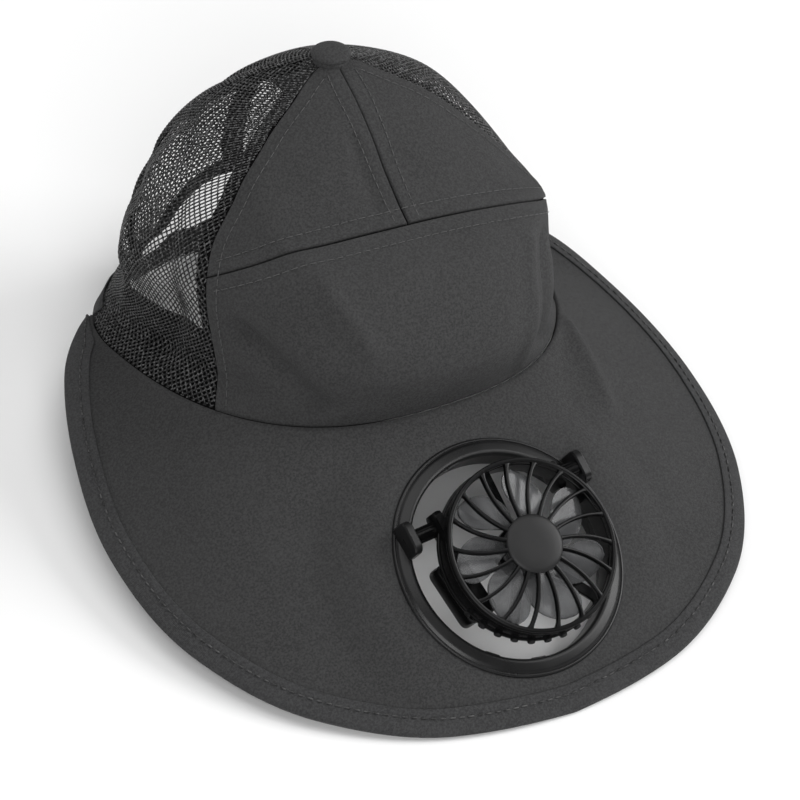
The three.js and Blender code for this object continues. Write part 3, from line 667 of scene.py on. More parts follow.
def crowded(count, length, ends=(0, 1)):
    """Even steps from 0 to 1, with extra rows a few tenths of a millimetre from the chosen ends."""
    close = np.array([0, 0.25, 0.6, 1.1]) / length
    extra = [close if end == 0 else 1 - close for end in ends]
    rows = np.unique(np.round(np.concatenate([np.linspace(0, 1, count), *extra]), 6))
    keep = np.concatenate([[True], np.diff(rows) > 0.0012])
    return rows[keep | (rows == 1)]


def arc(points, axis):
    """Distance walked along an axis of a grid of points."""
    steps = np.linalg.norm(np.diff(points, axis=axis), axis=-1)
    zero = np.zeros_like(np.take(steps, [0], axis))
    return np.cumsum(np.concatenate([zero, steps], axis), axis)


# %% Cloth panels
def cloth_panel(name, place, rows, cols, edges):
    """edges names the sewn sides of the panel: low, high, first, last."""
    v, u = np.meshgrid(rows, cols, indexing="ij")
    angle, share = place(u, v)
    base = crown_point(angle, share)
    across, up = arc(base, 1), arc(base, 0)
    sides = dict(first=across, last=across[:, -1:] - across, low=up, high=up[-1:] - up)
    height, turn = np.zeros(angle.shape), np.zeros(angle.shape)
    for edge in edges:
        distance = sides[edge]
        whole, edge_turn = pressed_seam(distance), turned_edge(distance)
        turn = np.minimum(turn, edge_turn)
        height = height + np.where(distance > TURN, whole, whole - edge_turn)
    outer = crown_at(angle, share, -(height + turn))
    inner = crown_at(angle, share, CLOTH)
    middle = across[:, across.shape[1] // 2][:, None]
    uv = np.stack([across - middle, up], -1).reshape(-1, 2)
    uv = np.concatenate([uv, uv])
    piece(name, shell(outer, inner), cloth, slot="cloth", stands_for=[name], uv=uv)


def front_place(u, v):
    side = 2 * u - 1
    share = v * (brow_share(side * BROW_EDGE) - SHARE_GAP)
    half = CROWN["edge"](share)
    return side * (half - angle_for(GAP / 2, side * half, share)), share


def upper_place(hand):
    def place(u, v):
        low = brow_share(hand * u * BROW_EDGE) + SHARE_GAP
        share = low + (1 - low) * v
        trim = angle_for(GAP / 2, CROWN["edge"](share), share)
        return hand * (trim + (CROWN["edge"](share) - 2 * trim) * u), share

    return place


cloth_panel("front_panel", front_place, crowded(74, 72), crowded(150, 165), ["high", "first", "last"])
for side_name, hand in HANDS.items():
    rows, cols = crowded(84, 82, ends=(0,)), crowded(60, 60)
    cloth_panel(f"upper_panel_{side_name}", upper_place(hand), rows, cols, ["low", "first", "last"])


# %% [markdown]
# ## Stitches
# A machine stitch is a short arc of thread that dives into the cloth at both ends. Each is its own little
# tube, laid on the panel along a line that keeps its distance from the seam. A bump map could fake this,
# but at the size of the render the dashes catch light one by one, so geometry is worth its few thousand
# faces.

# %% Rows of stitches
TOPSTITCH = dict(length=2.5, gap=0.75, radius=0.15, rise=0.10)
STITCH_FORM = np.array([  # share of the stitch, share of its girth
    (0, 0.6), (0.08, 0.95), (0.3, 1), (0.5, 1), (0.7, 1), (0.92, 0.95), (1, 0.6)
])
DIVE = 0.22  # how far both ends go into the cloth


def stitched_row(path, normal, length, gap, radius, rise):
    """Stitches along a path of points with normals."""
    walked = np.concatenate([[0], np.cumsum(np.linalg.norm(np.diff(path, axis=0), axis=1))])
    starts = np.arange(0.4, walked[-1] - length, length + gap)
    section, shares = round_section(1, 1, 6), STITCH_FORM[:, 0]
    girth = STITCH_FORM[:, 1] * radius
    lift = rise * np.sin(np.pi * shares) ** 0.6 - DIVE * (shares * (1 - shares) < 0.01)
    at = starts[:, None] + shares * length
    centre = np.stack([np.interp(at, walked, path[:, k]) for k in range(3)], -1)
    up = unit(np.stack([np.interp(at, walked, normal[:, k]) for k in range(3)], -1))
    centre = centre + up * lift[None, :, None]
    ahead = unit(centre[:, -1:] - centre[:, :1])
    side = unit(np.cross(ahead, up))
    across, above = ((section[:, i] * girth[:, None])[None, :, :, None] for i in (0, 1))
    ring = centre[:, :, None] + side[:, :, None] * across + up[:, :, None] * above
    ends = np.array([[0, 1, 2, 3], [3, 4, 5, 0]])
    each = len(shares) * len(section)
    faces = np.concatenate([ring_faces(len(shares), len(section)), ends, ends + each - len(section)])
    shift = (np.arange(len(starts)) * each)[:, None, None]
    return ring.reshape(-1, 3), (faces[None] + shift).reshape(-1, 4)


# %% Topstitching on the crown
STITCH_HEIGHT = 0.2


def crown_row(angle, share):
    angle, share = pair(angle, share)
    return stitched_row(crown_at(angle, share, -STITCH_HEIGHT), crown_normal(angle, share), **TOPSTITCH)


rows = []
brow_way = (2 * np.linspace(0, 1, 160) - 1) * 0.985
row_gap = (STITCH_AT + GAP / 2) / UP * 1.12  # the brow seam leans, so the way up to its rows is longer
for step in (row_gap, -row_gap):
    share = brow_share(brow_way * BROW_EDGE) + step
    rows.append(crown_row(brow_way * (CROWN["edge"](share) - 0.03), share))
for hand in HANDS.values():
    share = np.linspace(brow_share(hand * 0.05) + 0.01, 0.97, 160)
    rows.append(crown_row(hand * angle_for(STITCH_AT, 0.0, share), share))
    share = np.linspace(0.02, 0.97, 220)
    edge = CROWN["edge"](share)
    rows.append(crown_row(hand * (edge - angle_for(STITCH_AT, hand * edge, share)), share))
piece("crown_stitching", joined(*rows), thread, slot="cloth")

# %% [markdown]
# ## Net
# The net is warp-knitted: wavy yarns stand side by side, and each touches its left neighbour and its
# right neighbour in turn, so that the gaps are small hexagons. Here every yarn is a thin flattened tube
# that follows the crown. Its place is worked out in millimetres across and up the panel, so the mesh
# keeps its size where the panel narrows towards the button, as cloth cut from a roll does. A plane with a
# pattern of holes would be lighter, but from the side it has no depth.

# %% Knitted net
YARN = dict(spacing=1.3, period=2.5, steps=6, across=0.25, up=0.22, lap=0.07, flatten=1.6, over=1.15)
NET_TOP = 0.99  # the nets end under the button


def knitted(name, first, last, low):
    """A net between two angles (functions of the share), above a lowest share (function of the angle)."""
    middle = float(first(np.array(0.3)) + last(np.array(0.3))) / 2
    fine = np.linspace(0, 1, 600)
    steps = np.linalg.norm(np.diff(crown_point(middle, fine), axis=0), axis=1)
    climbed = np.concatenate([[0], np.cumsum(steps)])
    heights = np.arange(0.15, climbed[-1] * NET_TOP, YARN["period"] / YARN["steps"])
    share = np.interp(heights, climbed, fine)
    rows = len(share)
    angles = first(share)[:, None] + (last(share) - first(share))[:, None] * np.linspace(0, 1, 160)
    walked = arc(crown_point(angles, share[:, None]), 1)
    strands = int(walked[:, -1].max() / YARN["spacing"]) + 1
    swing = (YARN["spacing"] - 2 * YARN["across"]) / 2 + 0.02
    number = np.arange(strands)
    phase = (heights * 2 * math.pi / YARN["period"])[:, None] + number * math.pi
    wave = np.tanh(YARN["flatten"] * np.sin(phase)) / math.tanh(YARN["flatten"])
    across = (number + 0.5) * YARN["spacing"] + swing * wave
    angle = np.stack([np.interp(across[r], walked[r], angles[r]) for r in range(rows)])
    share_grid = np.repeat(share[:, None], strands, 1)
    inside = (across > 0.05) & (across < walked[:, -1:] - 0.05) & (share_grid >= low(np.abs(angle)))
    centre = crown_at(angle, share_grid, NET / 2 - YARN["lap"] * np.cos(phase))
    up = crown_normal(angle, share_grid)
    side = unit(np.cross(unit(np.gradient(centre, axis=0)), up))
    section = round_section(YARN["across"] * YARN["over"], YARN["up"] * YARN["over"], 4)
    ring = centre[:, :, None] + side[:, :, None] * section[:, :1] + up[:, :, None] * section[:, 1:]
    index = np.arange(rows * strands).reshape(rows, strands)
    used = inside[:-1] & inside[1:]
    start, end = index[:-1][used] * 4, index[1:][used] * 4
    walls = [np.stack([start + k, start + (k + 1) % 4, end + (k + 1) % 4, end + k], -1) for k in range(4)]
    none = np.zeros((1, strands), bool)
    tips = index[np.concatenate([used, none]) ^ np.concatenate([none, used])] * 4
    faces = np.concatenate([*walls, np.stack([tips, tips + 1, tips + 2, tips + 3], -1)])
    kept = np.zeros(ring.size // 3, bool)
    kept[faces.ravel()] = True
    shape = ring.reshape(-1, 3)[kept], (np.cumsum(kept) - 1)[faces]
    piece(name, shape, yarn, slot="net", stands_for=[name])


# %% Edges of the nets
def arch_share(angle):
    offset = np.minimum(1, (math.pi - angle) / ARCH["half_angle"])
    return ARCH["top"] * (1 - offset ** ARCH["square"]) ** ARCH["shoulder"]


def seam_edge(share):
    return CROWN["edge"](share) + angle_for(GAP / 2, CROWN["edge"](share), share)


def seam_trim(share):
    return angle_for(GAP / 2, SIDE_SEAM, share)


NETS = dict(  # the front edge, the back edge, the lowest share
    side=(seam_edge, lambda share: SIDE_SEAM - seam_trim(share), np.zeros_like),
    back=(lambda share: SIDE_SEAM + seam_trim(share), lambda share: math.pi - seam_trim(share), arch_share),
)
for side_name, hand in HANDS.items():
    for part, (front_edge, back_edge, low) in NETS.items():
        edges = (front_edge, back_edge)[::hand]
        first, last = (lambda share, edge=edge, hand=hand: hand * edge(share) for edge in edges)
        knitted(f"{part}_net_{side_name}", first, last, low)


# %% [markdown]
# ## Tapes, sweatband and strap
# Inside, a woven tape covers the allowances of the side, middle, brow and hem seams, and it shows through
# the net as a darker band. A folded tape finishes the hem and the arch at the back. The sweatband is a
# soft band with a rounded top, and the size strap laps at the middle of the back. All of them follow the
# crown at their own depth. The cloth of the seam tapes and the sweatband is dark, and it is darkened
# further as painted shade for the inside of the cap.

# %% Tapes on the crown
TAPE = dict(seam=9.0, side=8.0, hem=7.0, thickness=0.5, round=0.12)


def ribbon(angle, share, width, depth):
    """A tape that follows a line on the crown: width in millimetres across the line."""
    angle, share = pair(angle, share)
    centre, up = crown_at(angle, share, depth), crown_normal(angle, share)
    side = unit(np.cross(unit(np.gradient(centre, axis=0)), up))
    return tube(centre, side, up, block(0.5, 0, 1, TAPE["round"], 3) * [width, -TAPE["thickness"]])


tape_way = np.linspace(0.0, 0.96, 120)
tapes = []
for hand in HANDS.values():
    edge = CROWN["edge"](tape_way)
    inner = edge + angle_for(1.5, hand * edge, tape_way)
    tapes.append(ribbon(hand * inner, tape_way, TAPE["seam"], CLOTH + 0.35))
    tapes.append(ribbon(hand * SIDE_SEAM, tape_way, TAPE["side"], NET + 0.3))
tapes.append(ribbon(0, np.linspace(brow_share(0.0) - 0.03, 0.97, 80), TAPE["seam"], CLOTH + 0.3))
brow_angle = np.linspace(-1, 1, 120) * BROW_EDGE
tapes.append(ribbon(brow_angle, brow_share(brow_angle), TAPE["seam"], CLOTH + 0.45))
tapes.append(ribbon(np.linspace(-1, 1, 240) * (BRIM["end"] + 0.03), 0.004, TAPE["hem"], CLOTH + 0.1))
tapes.append(ribbon(math.pi, np.linspace(ARCH["top"], 0.96, 90), TAPE["seam"], NET + 0.3))
# The seam tapes' cloth carries painted shade: it is darkened for the inside of the cap.
piece("seam_tape", joined(*tapes), band_cloth_painted_shade, slot="sweatband")


# %% Hem and arch binding
def folded_over(path, inward, up, reach, half):
    """A tape folded over an edge: U in section. inward points from the edge into the cloth."""
    inside = half - TAPE["thickness"]
    nose = (-0.25, half * 0.6)
    top = [(reach, half), (0.3, half), nose, (nose[0], -nose[1]), (0.3, -half), (reach, -half)]
    under = [(reach, -inside), (0.5, -inside), (0.35, 0), (0.5, inside), (reach, inside)]
    return tube(path, inward, up, np.array(top + under))


hem_angle = np.linspace(BRIM["end"] - 0.02, math.pi - ARCH["half_angle"], 50)
arch_angle = math.pi - ARCH["half_angle"] * (1 - np.linspace(0, 1, 70) ** 2.2)
edge_angle = np.concatenate([hem_angle, arch_angle[1:]])
edge_angle = np.concatenate([edge_angle, 2 * math.pi - edge_angle[-2::-1]])
edge_share = arch_share(np.minimum(edge_angle, 2 * math.pi - edge_angle))
wrapped = np.where(edge_angle > math.pi, edge_angle - 2 * math.pi, edge_angle)
edge_path = crown_at(wrapped, edge_share, NET / 2)
edge_up = crown_normal(wrapped, edge_share)
edge_in = unit(np.cross(edge_up, unit(np.gradient(edge_path, axis=0))))
piece("arch_binding", folded_over(edge_path, edge_in, edge_up, 5.0, 1.0), tape, slot="binding")


# %% Sweatband and size strap
def smooth(value, low, high):
    t = np.clip((value - low) / (high - low), 0, 1)
    return t * t * (3 - 2 * t)


def band(name, place, depth, thickness, cols, material, slot):
    """A soft band on the inside of the crown with a rounded top and hem."""
    v, u = np.meshgrid(np.linspace(0, 1, 12), np.linspace(0, 1, cols), indexing="ij")
    angle, share = place(u, v)
    puff = 1 - (2 * v - 1) ** 6
    inner = crown_at(angle, share, depth(u) + thickness * (0.25 + 0.75 * puff))
    outer = crown_at(angle, share, depth(u) + thickness * 0.2 * (1 - puff))
    uv = np.stack([arc(outer, 1), arc(outer, 0)], -1).reshape(-1, 2)
    piece(name, shell(outer, inner), material, slot=slot, stands_for=[name], uv=np.concatenate([uv, uv]))


def sweatband_place(u, v):
    return (2 * u - 1) * SWEATBAND["end"], v * SWEATBAND["height"]


def sweatband_depth(u):
    return np.full_like(u, CLOTH + SWEATBAND["clearance"])


# The sweatband's cloth carries painted shade: it is darkened for the inside of the cap.
band("sweatband", sweatband_place, sweatband_depth, SWEATBAND["thickness"], 200, band_cloth_painted_shade, "sweatband")
strap_start, strap_end = math.pi - STRAP["half_angle"], math.pi + STRAP["lap"]
lap_steps = dict(left=0, right=STRAP["thickness"] + 2 * GAP)  # the right half laps inside the left
for side_name, hand in HANDS.items():

    def strap_place(u, v, hand=hand):
        return hand * (strap_start + (strap_end - strap_start) * u), v * STRAP["top"]

    def strap_depth(u, step=lap_steps[side_name]):
        tucked = STRAP["tuck"] * (1 - smooth(u, 0.25, 0.5))
        return NET + STRAP["clearance"] + tucked + step * smooth(u, 0.5, 0.8)

    band(f"size_strap_{side_name}", strap_place, strap_depth, STRAP["thickness"], 70, tape, "strap")


# %% [markdown]
# ## Button
# The button is a metal blank covered with the cap's cloth: an outline spun about its axis. The cloth is
# gathered under it, so the rim has faint pleats and the top is smooth. A patch of cloth backs it inside
# the crown, and the gathers close the way between the two.

# %% Covered button
BUTTON_FORM = [  # share of the radius, share of the height
    (0, 0), (0.75, 0), (0.92, 0.05), (1, 0.22), (0.985, 0.42), (0.93, 0.58),
    (0.82, 0.74), (0.64, 0.87), (0.4, 0.96), (0.2, 0.99), (0, 1),
]
PLEATS = ((14, 0, 0.018), (23, 1, 0.012))  # number round the rim, turn, depth as a share of the radius


def covered_button():
    radius, height = BUTTON["radius"], BUTTON["height"]
    points, faces = turned([(max(r, ON_AXIS) * radius, z * height) for r, z in BUTTON_FORM], 96)
    turn = np.arctan2(points[:, 1], points[:, 0])
    low = np.clip(1 - points[:, 2] / (0.6 * height), 0, 1)
    ripple = 1 + sum(depth * low * np.sin(number * turn + start) for number, start, depth in PLEATS)
    points[:, :2] *= ripple[:, None]
    return points, faces


top_z = (SECTIONS["front_z"][-1] + SECTIONS["back_z"][-1]) / 2 + BUTTON["lift"]
button_place = Matrix.Translation((0, SECTIONS["centre_y"][-1], top_z))
button_frame = CAP @ button_place @ Matrix.Rotation(BUTTON["lean"], 4, "X")
shape = covered_button()
piece("button", shape, cloth, slot="cloth", stands_for=["button"], matrix=button_frame, uv=shape[0][:, :2])

# %% Backing and gathers under the button
whole_turn = np.linspace(-math.pi, math.pi, 72)
high, round_way = np.meshgrid(np.linspace(0.9, 0.9999, 8), whole_turn, indexing="ij")
patch = shell(crown_at(round_way, high, CLOTH + 0.05), crown_at(round_way, high, CLOTH + 0.5))
piece("button_backing", patch, cloth, slot="cloth")
reach = 0.92 * BUTTON["radius"]
gathers = turned([(ON_AXIS, -2.2), (reach - 0.5, -2.2), (reach, -1.6), (reach, 0.4), (ON_AXIS, 0.5)], 64)
piece("button_gathers", gathers, cloth, slot="cloth", matrix=button_frame)


# %% [markdown]
# ## Brim
# The brim is a sandwich of cloth over a soft foam sheet, so it sweeps down in one smooth curve, and it
# lies flat where the fan's ring clamps it. Its surface runs from the crown's hem to the edge table, its
# two ends go in under the crown, and a circle is left open for the ring. A few shallow dents come from
# the ring and the way that the hat was packed.

# %% The brim's surface
TUCK = dict(start=88 * RADIAN, share=0.92, power=2.4, drop=4.5)  # the brim's ends go in under the crown


def edge_point(angle):
    share = np.abs(angle) / EDGE_SPAN
    reach = EDGE["reach"](share)
    point = np.stack([reach * np.sin(angle), -reach * np.cos(angle), EDGE["z"](share)], -1)
    ending = np.clip((np.abs(angle) - TUCK["start"]) / (BRIM["end"] - TUCK["start"]), 0, 1)
    tucked = TUCK["share"] * (1 - np.sqrt(1 - ending ** TUCK["power"]))
    hem = crown_point(angle, 0.0) - [0, 0, TUCK["drop"]]
    return point + (hem - point) * tucked[..., None]


SEAT_TURN = Matrix.Rotation(SEAT["pitch"], 4, "X") @ Matrix.Rotation(SEAT["yaw"], 4, "Y")
SEAT_NORMAL = np.array(SEAT_TURN)[:3, 2]
hem_front, rim_front = crown_point(0.0, 0.0), edge_point(np.array(0.0))
SEAT_CENTRE = hem_front + (rim_front - hem_front) * SEAT["share"] + np.array([SEAT["side"], 0, 0])
SEAT_FRAME = CAP @ Matrix.Translation(SEAT_CENTRE) @ SEAT_TURN

ROUND_BRIM, OUT_BRIM = 135.0, 85.0  # millimetres to a radian and to the whole way out
CLAMPED = (45, 56)  # distances from the ring's middle over which the dents come in
DENTS = [  # angle and share of both ends, width, height
    (0.88, 0.03, 0.63, 0.28, 4.5, 1.9),
    (0.74, 0.02, 0.50, 0.20, 8.0, -1.4),
    (-0.55, 0.35, -0.15, 0.12, 12.0, -0.9),
    (0.42, 0.30, 0.55, 0.60, 12.0, 0.8),
    (-0.50, 0.80, 0.25, 0.86, 12.0, -0.6),
    (-1.25, 0.30, -0.95, 0.70, 20.0, -1.0),
]


def brim_flat(angle, share):
    angle, share = pair(angle, share)
    start = crown_point(angle, 0.0)
    outward = edge_point(angle) - start
    clear = (GAP + 0.15) / np.maximum(np.linalg.norm(outward, axis=-1), 1)
    point = start + outward * (clear + (1 - clear) * share)[..., None]
    offset = point - SEAT_CENTRE
    height = offset @ SEAT_NORMAL
    distance = np.sqrt(np.maximum(0, (offset**2).sum(-1) - height**2))
    near = 1 - smooth(distance, SEAT["flat"], SEAT["blend"])
    free = smooth(share, 0, 0.06) * (1 - smooth(share, 0.9, 1))
    return point - SEAT_NORMAL * (height * near * free)[..., None], distance


def brim_normal(angle, share, step=0.02):
    angle, share = pair(angle, share)
    along = brim_flat(angle + step, share)[0] - brim_flat(angle - step, share)[0]
    further, nearer = np.minimum(1, share + step), np.maximum(0, share - step)
    out = brim_flat(angle, further)[0] - brim_flat(angle, nearer)[0]
    return unit(np.cross(out, along))


def brim_at(angle, share, height=0.0):
    """The brim with its dents, at a height above its middle surface."""
    angle, share = pair(angle, share)
    points, distance = brim_flat(angle, share)
    dent = creased(DENTS, angle, share, ROUND_BRIM, OUT_BRIM)
    dent *= smooth(distance, *CLAMPED) * smooth(share, 0, 0.08) * (1 - smooth(share, 0.86, 0.97))
    return points + brim_normal(angle, share) * (dent + height)[..., None], distance


def share_in(angle, inset, step=0.02):
    """The place a distance in from the brim's edge, as a share of the way out from the crown."""
    tangent = unit(edge_point(angle + step) - edge_point(angle - step))
    ruling = brim_flat(angle, 1.0)[0] - brim_flat(angle, 0.0)[0]
    along = (ruling * tangent).sum(-1)
    reach = np.sqrt((ruling**2).sum(-1) - along**2)
    squeeze = np.minimum(1, 0.8 * reach / BINDING["width"])
    return 1 - inset * squeeze / reach


# %% The brim's cloth
HOLE = 41.0  # radius of the opening for the ring
HOLE_REACH = 1.3  # points this near to the opening's edge are moved onto it


def from_seat(points):
    """The height of points above the ring's seat, and their way out from its axis, as vectors."""
    offset = points - SEAT_CENTRE
    above = (offset @ SEAT_NORMAL)[..., None] * SEAT_NORMAL
    return above, offset - above


def brim_shell():
    stations, across = 300, 64
    angle = np.linspace(-1, 1, stations) * BRIM["end"]
    out = np.linspace(0, 1, across)[:, None] * share_in(angle, BINDING["web"] + 2 * GAP)
    angle = np.repeat(angle[None], across, 0)
    grids = []
    for height in (BRIM["thickness"] / 2, -BRIM["thickness"] / 2):
        above, flat = from_seat(brim_at(angle, out, height)[0])
        radius = np.linalg.norm(flat, axis=-1)
        pull = np.where(np.abs(radius - HOLE) < HOLE_REACH, HOLE / np.maximum(radius, 1), 1)
        grids.append(rested(SEAT_CENTRE + above + flat * pull[..., None], BINDING["tape"] + GAP))
    points, faces = shell(*grids)
    radius = np.linalg.norm(from_seat(points)[1], axis=-1)
    faces = faces[(radius[faces] > HOLE - 0.1).all(1)]
    walked = arc(grids[0], 1)
    uv = np.stack([walked - walked[:, stations // 2][:, None], arc(grids[0], 0)], -1).reshape(-1, 2)
    return (points, faces), np.concatenate([uv, uv])


shape, uv = brim_shell()
piece("brim", shape, cloth, slot="cloth", stands_for=["brim"], uv=uv)


# %% [markdown]
# ## Brim binding
# The raw edge of the brim is wrapped in a folded tape and sewn through. The tape pulls in slightly at
# every stitch, so its inner edge and its face ripple a little. Its stitches are painted nearly black, as
# painted shade in the stitch holes, with pale flecks as painted highlights.

# %% Binding round the edge
BINDING_STITCH = dict(length=2.0, gap=1.25, radius=0.3, rise=0.12)
SEWN_IN = 3.2  # from the tape's inner edge to its row of stitches
RIPPLE = dict(edge=0.18, face=0.14)  # how far each stitch pulls the tape in


def binding_shape():
    stations = 420
    angle = np.linspace(-1, 1, stations) * BRIM["end"]
    inside = BRIM["thickness"] / 2 + GAP + BINDING["ease"] - 0.25
    outside = inside + BINDING["tape"]
    width, web = BINDING["width"], BINDING["web"]
    profile = [  # distance in from the edge, height
        (width, outside * 0.86),
        (width - 0.5, outside),
        (width - 2.4, outside + 0.05),
        (width - SEWN_IN, outside - 0.03),
        (width - 4.0, outside + 0.08),
        (4.0, outside + 0.12),
        (2.0, outside + 0.05),
        (0.8, outside * 0.92),
        (0.15, outside * 0.6),
        (0, 0),
        (0.15, -outside * 0.6),
        (0.8, -outside * 0.92),
        (2.0, -outside),
        (width, -outside),
    ]
    lining = [(width, -inside), (web, -inside), (web, inside), (width, inside)]
    walked = np.concatenate([[0], np.cumsum(np.linalg.norm(np.diff(edge_point(angle), axis=0), axis=1))])
    pitch = BINDING_STITCH["length"] + BINDING_STITCH["gap"]
    pull = 0.5 + 0.5 * np.cos(walked * 2 * math.pi / pitch)
    sections = []
    for k, (inset, height) in enumerate(profile + lining):
        share = share_in(angle, inset + (RIPPLE["edge"] * pull if k < 2 else 0))
        rise = height - (RIPPLE["face"] * pull if k == 3 else 0)
        layer = BINDING["tape"] if k >= len(profile) else 0
        sections.append(rested(brim_at(angle, share, rise)[0], layer))
    count = len(sections)
    around = np.cumsum(np.hypot(*np.diff(np.array(profile + lining), axis=0).T))
    around = np.concatenate([[0], around])
    uv = np.stack([np.repeat(walked[:, None], count, 1), np.repeat(around[None], stations, 0)], -1)
    faces = np.concatenate([ring_faces(stations, count), end_faces(stations, count)])
    return (np.stack(sections, 1).reshape(-1, 3), faces), uv.reshape(-1, 2)


shape, uv = binding_shape()
piece("brim_binding", shape, tape, slot="binding", stands_for=["brim_binding"], uv=uv)

row_angle = np.linspace(-1, 1, 900) * (BRIM["end"] - 0.01)
row_share = share_in(row_angle, BINDING["width"] - SEWN_IN)
row_path, _ = brim_at(row_angle, row_share, BRIM["thickness"] / 2 + BINDING["tape"] + 0.16 + GAP)
binding_row = stitched_row(row_path, brim_normal(row_angle, row_share), **BINDING_STITCH)
# The binding's stitches carry painted shade and painted highlights in their colour.
piece("binding_stitching", binding_row, painted_shade_thread, slot="binding")

# %% [markdown]
# ## Moulded plastic
# The ring and the fan are moulded in nearly black plastic with a fine grain, the disc a little lighter
# and duller, and the blades are cloudy and let light through. Noise at two scales gives the grain, and
# the roughness drifts a little, so highlights break up.

# %% Plastics
def moulded(deep, light, grain, smoothest, roughest):
    def recipe(tree, surface):
        drift = noise(tree, 45.0, 3.0).between(0.3, 0.7)
        tree.links.new(mixed(tree, drift, deep, light), surface.inputs["Base Color"])
        rough = drift * (roughest - smoothest) + smoothest
        tree.links.new(rough.socket, surface.inputs["Roughness"])
        bumped(tree, surface, noise(tree, 2600.0, 2.0) + noise(tree, 700.0, 2.0) * 0.5, grain)

    return recipe


plastic = finish(
    "dark_moulding",
    moulded(grey(0.0024, 0.0002), grey(0.004, 0.0002), 0.00001, 0.20, 0.28),
    Specular_IOR_Level=0.16,
)
ring_plastic = finish(
    "ring_moulding",
    moulded(grey(0.0062, 0.0003), grey(0.0095, 0.0003), 0.000016, 0.26, 0.34),
    Specular_IOR_Level=0.27,
)
disc_plastic = finish(
    "disc_moulding",
    moulded(grey(0.0085, 0.0003), grey(0.0135, 0.0003), 0.00001, 0.34, 0.42),
    Specular_IOR_Level=0.22,
)
blade_plastic = finish(
    "cloudy_blade",
    moulded((0.17, 0.172, 0.177), (0.31, 0.313, 0.32), 0.000006, 0.16, 0.24),
    Transmission_Weight=0.7,
    IOR=1.3,
)

# %% [markdown]
# ## The ring in the brim
# A lathe makes the ring: a gently domed flange that lies on the cloth, with a fine step at its outer
# edge, and a short collar that passes through the brim. Two ears stand on it and hold the fan's pins.
# Under the brim a second ring screws up against the cloth.

# %% Ring sizes and outline
RING = dict(outer=43.3, inner=36.6, wall=39.4, lip=1.9, depth=7.0)
RETAINER = dict(outer=42.4, thickness=2.2, clearance=1.3)
HINGE = dict(up=18.2, height=6.8, pitch=2 * RADIAN, yaw=-2.7 * RADIAN, turn=4.7 * RADIAN)
EAR = dict(inner=34.6, thickness=3.2, length=12.0, above=4.4)
SHAFT = dict(radius=2.6, pin=1.8)
BASE = BRIM["thickness"] / 2 + GAP


def flange_outline():
    outer, inner, wall, lip = RING["outer"], RING["inner"], RING["wall"], RING["lip"]
    corners = [
        (inner, BASE + 0.4),
        (inner + 0.35, BASE + lip - 0.25),
        (inner + 1.5, BASE + lip),
        (outer - 2.2, BASE + lip - 0.75),
        (outer - 1.35, BASE + 0.55),
        (outer - 1.1, BASE + 0.9),
        (outer - 0.4, BASE + 0.8),
        (outer, BASE),
        (wall, BASE),
        (wall, -RING["depth"]),
        (inner, -RING["depth"]),
    ]
    return rounded(corners, [0.3, 0.5, 1.0, 0.8, 0.1, 0.2, 0.3, 0.2, 0.1, 0.3, 0.3], 5)


def ear_shape(hand):
    low, top = BASE + 0.4, HINGE["height"] + EAR["above"]
    outline = block(EAR["length"] / 2, low, top, [0.5, 0.5, 3.6, 3.6], 8)
    points, faces = slab(outline, 0, EAR["thickness"], 0.5)
    near = EAR["inner"] if hand > 0 else -EAR["inner"] - EAR["thickness"]
    upright = np.stack([points[:, 2] + near, points[:, 0], points[:, 1]], -1)
    place = Matrix.Translation((0, HINGE["up"], 0)) @ Matrix.Rotation(HINGE["turn"], 4, "Z")
    return mapped(place, upright), faces


def bar(size, centre, turn=0.0, edge=0.3):
    """A small bar with eased edges, turned about Z."""
    x, y, z = (s / 2 for s in size)
    points, faces = slab(block(x, -y, y, edge, 3), -z, z, min(edge, z * 0.8))
    place = Matrix.Rotation(turn, 4, "Z") @ Matrix.Translation(centre)
    return mapped(place, points), faces


# %% The two rings
ON_SEAT = dict(slot="ring", matrix=SEAT_FRAME, sharp=40)
NUBS = dict(size=(1.0, 5.5, 0.9), inset=0.2, up=0.5, edge=0.25, angles=(100, 235, 262))
STOP = dict(size=(1.3, 7.5, 1.9), inset=0.9, up=1.2, edge=0.4, angles=(158,))
ring_parts = [turned(flange_outline(), 180), *(ear_shape(hand) for hand in HANDS.values())]
for small in (NUBS, STOP):
    centre = (RING["inner"] + small["inset"], 0, BASE + small["up"])
    ring_parts += [bar(small["size"], centre, angle * RADIAN, small["edge"]) for angle in small["angles"]]
piece("mount_ring", joined(*ring_parts), ring_plastic, stands_for=["mount_ring"], **ON_SEAT)
top = -BRIM["thickness"] / 2 - RETAINER["clearance"]
bottom, inside, outer = top - RETAINER["thickness"], RING["wall"] + GAP, RETAINER["outer"]
outline = rounded([(inside, top), (outer, top), (outer - 0.6, bottom), (inside, bottom)], 0.5, 4)
piece("retaining_ring", turned(outline, 160), ring_plastic, stands_for=["retaining_ring"], **ON_SEAT)

# %% [markdown]
# ## The fan
# The barrel is a short tube with a motor held on five struts at its back. The grille clips into its
# front: a rounded rim, eighteen curved spokes that swell where they join, and a plain domed disc. Seven
# petal blades of cloudy plastic turn between them. Every shape is made in the fan's own frame, whose X
# axis is the hinge, so the joint and the looks agree.

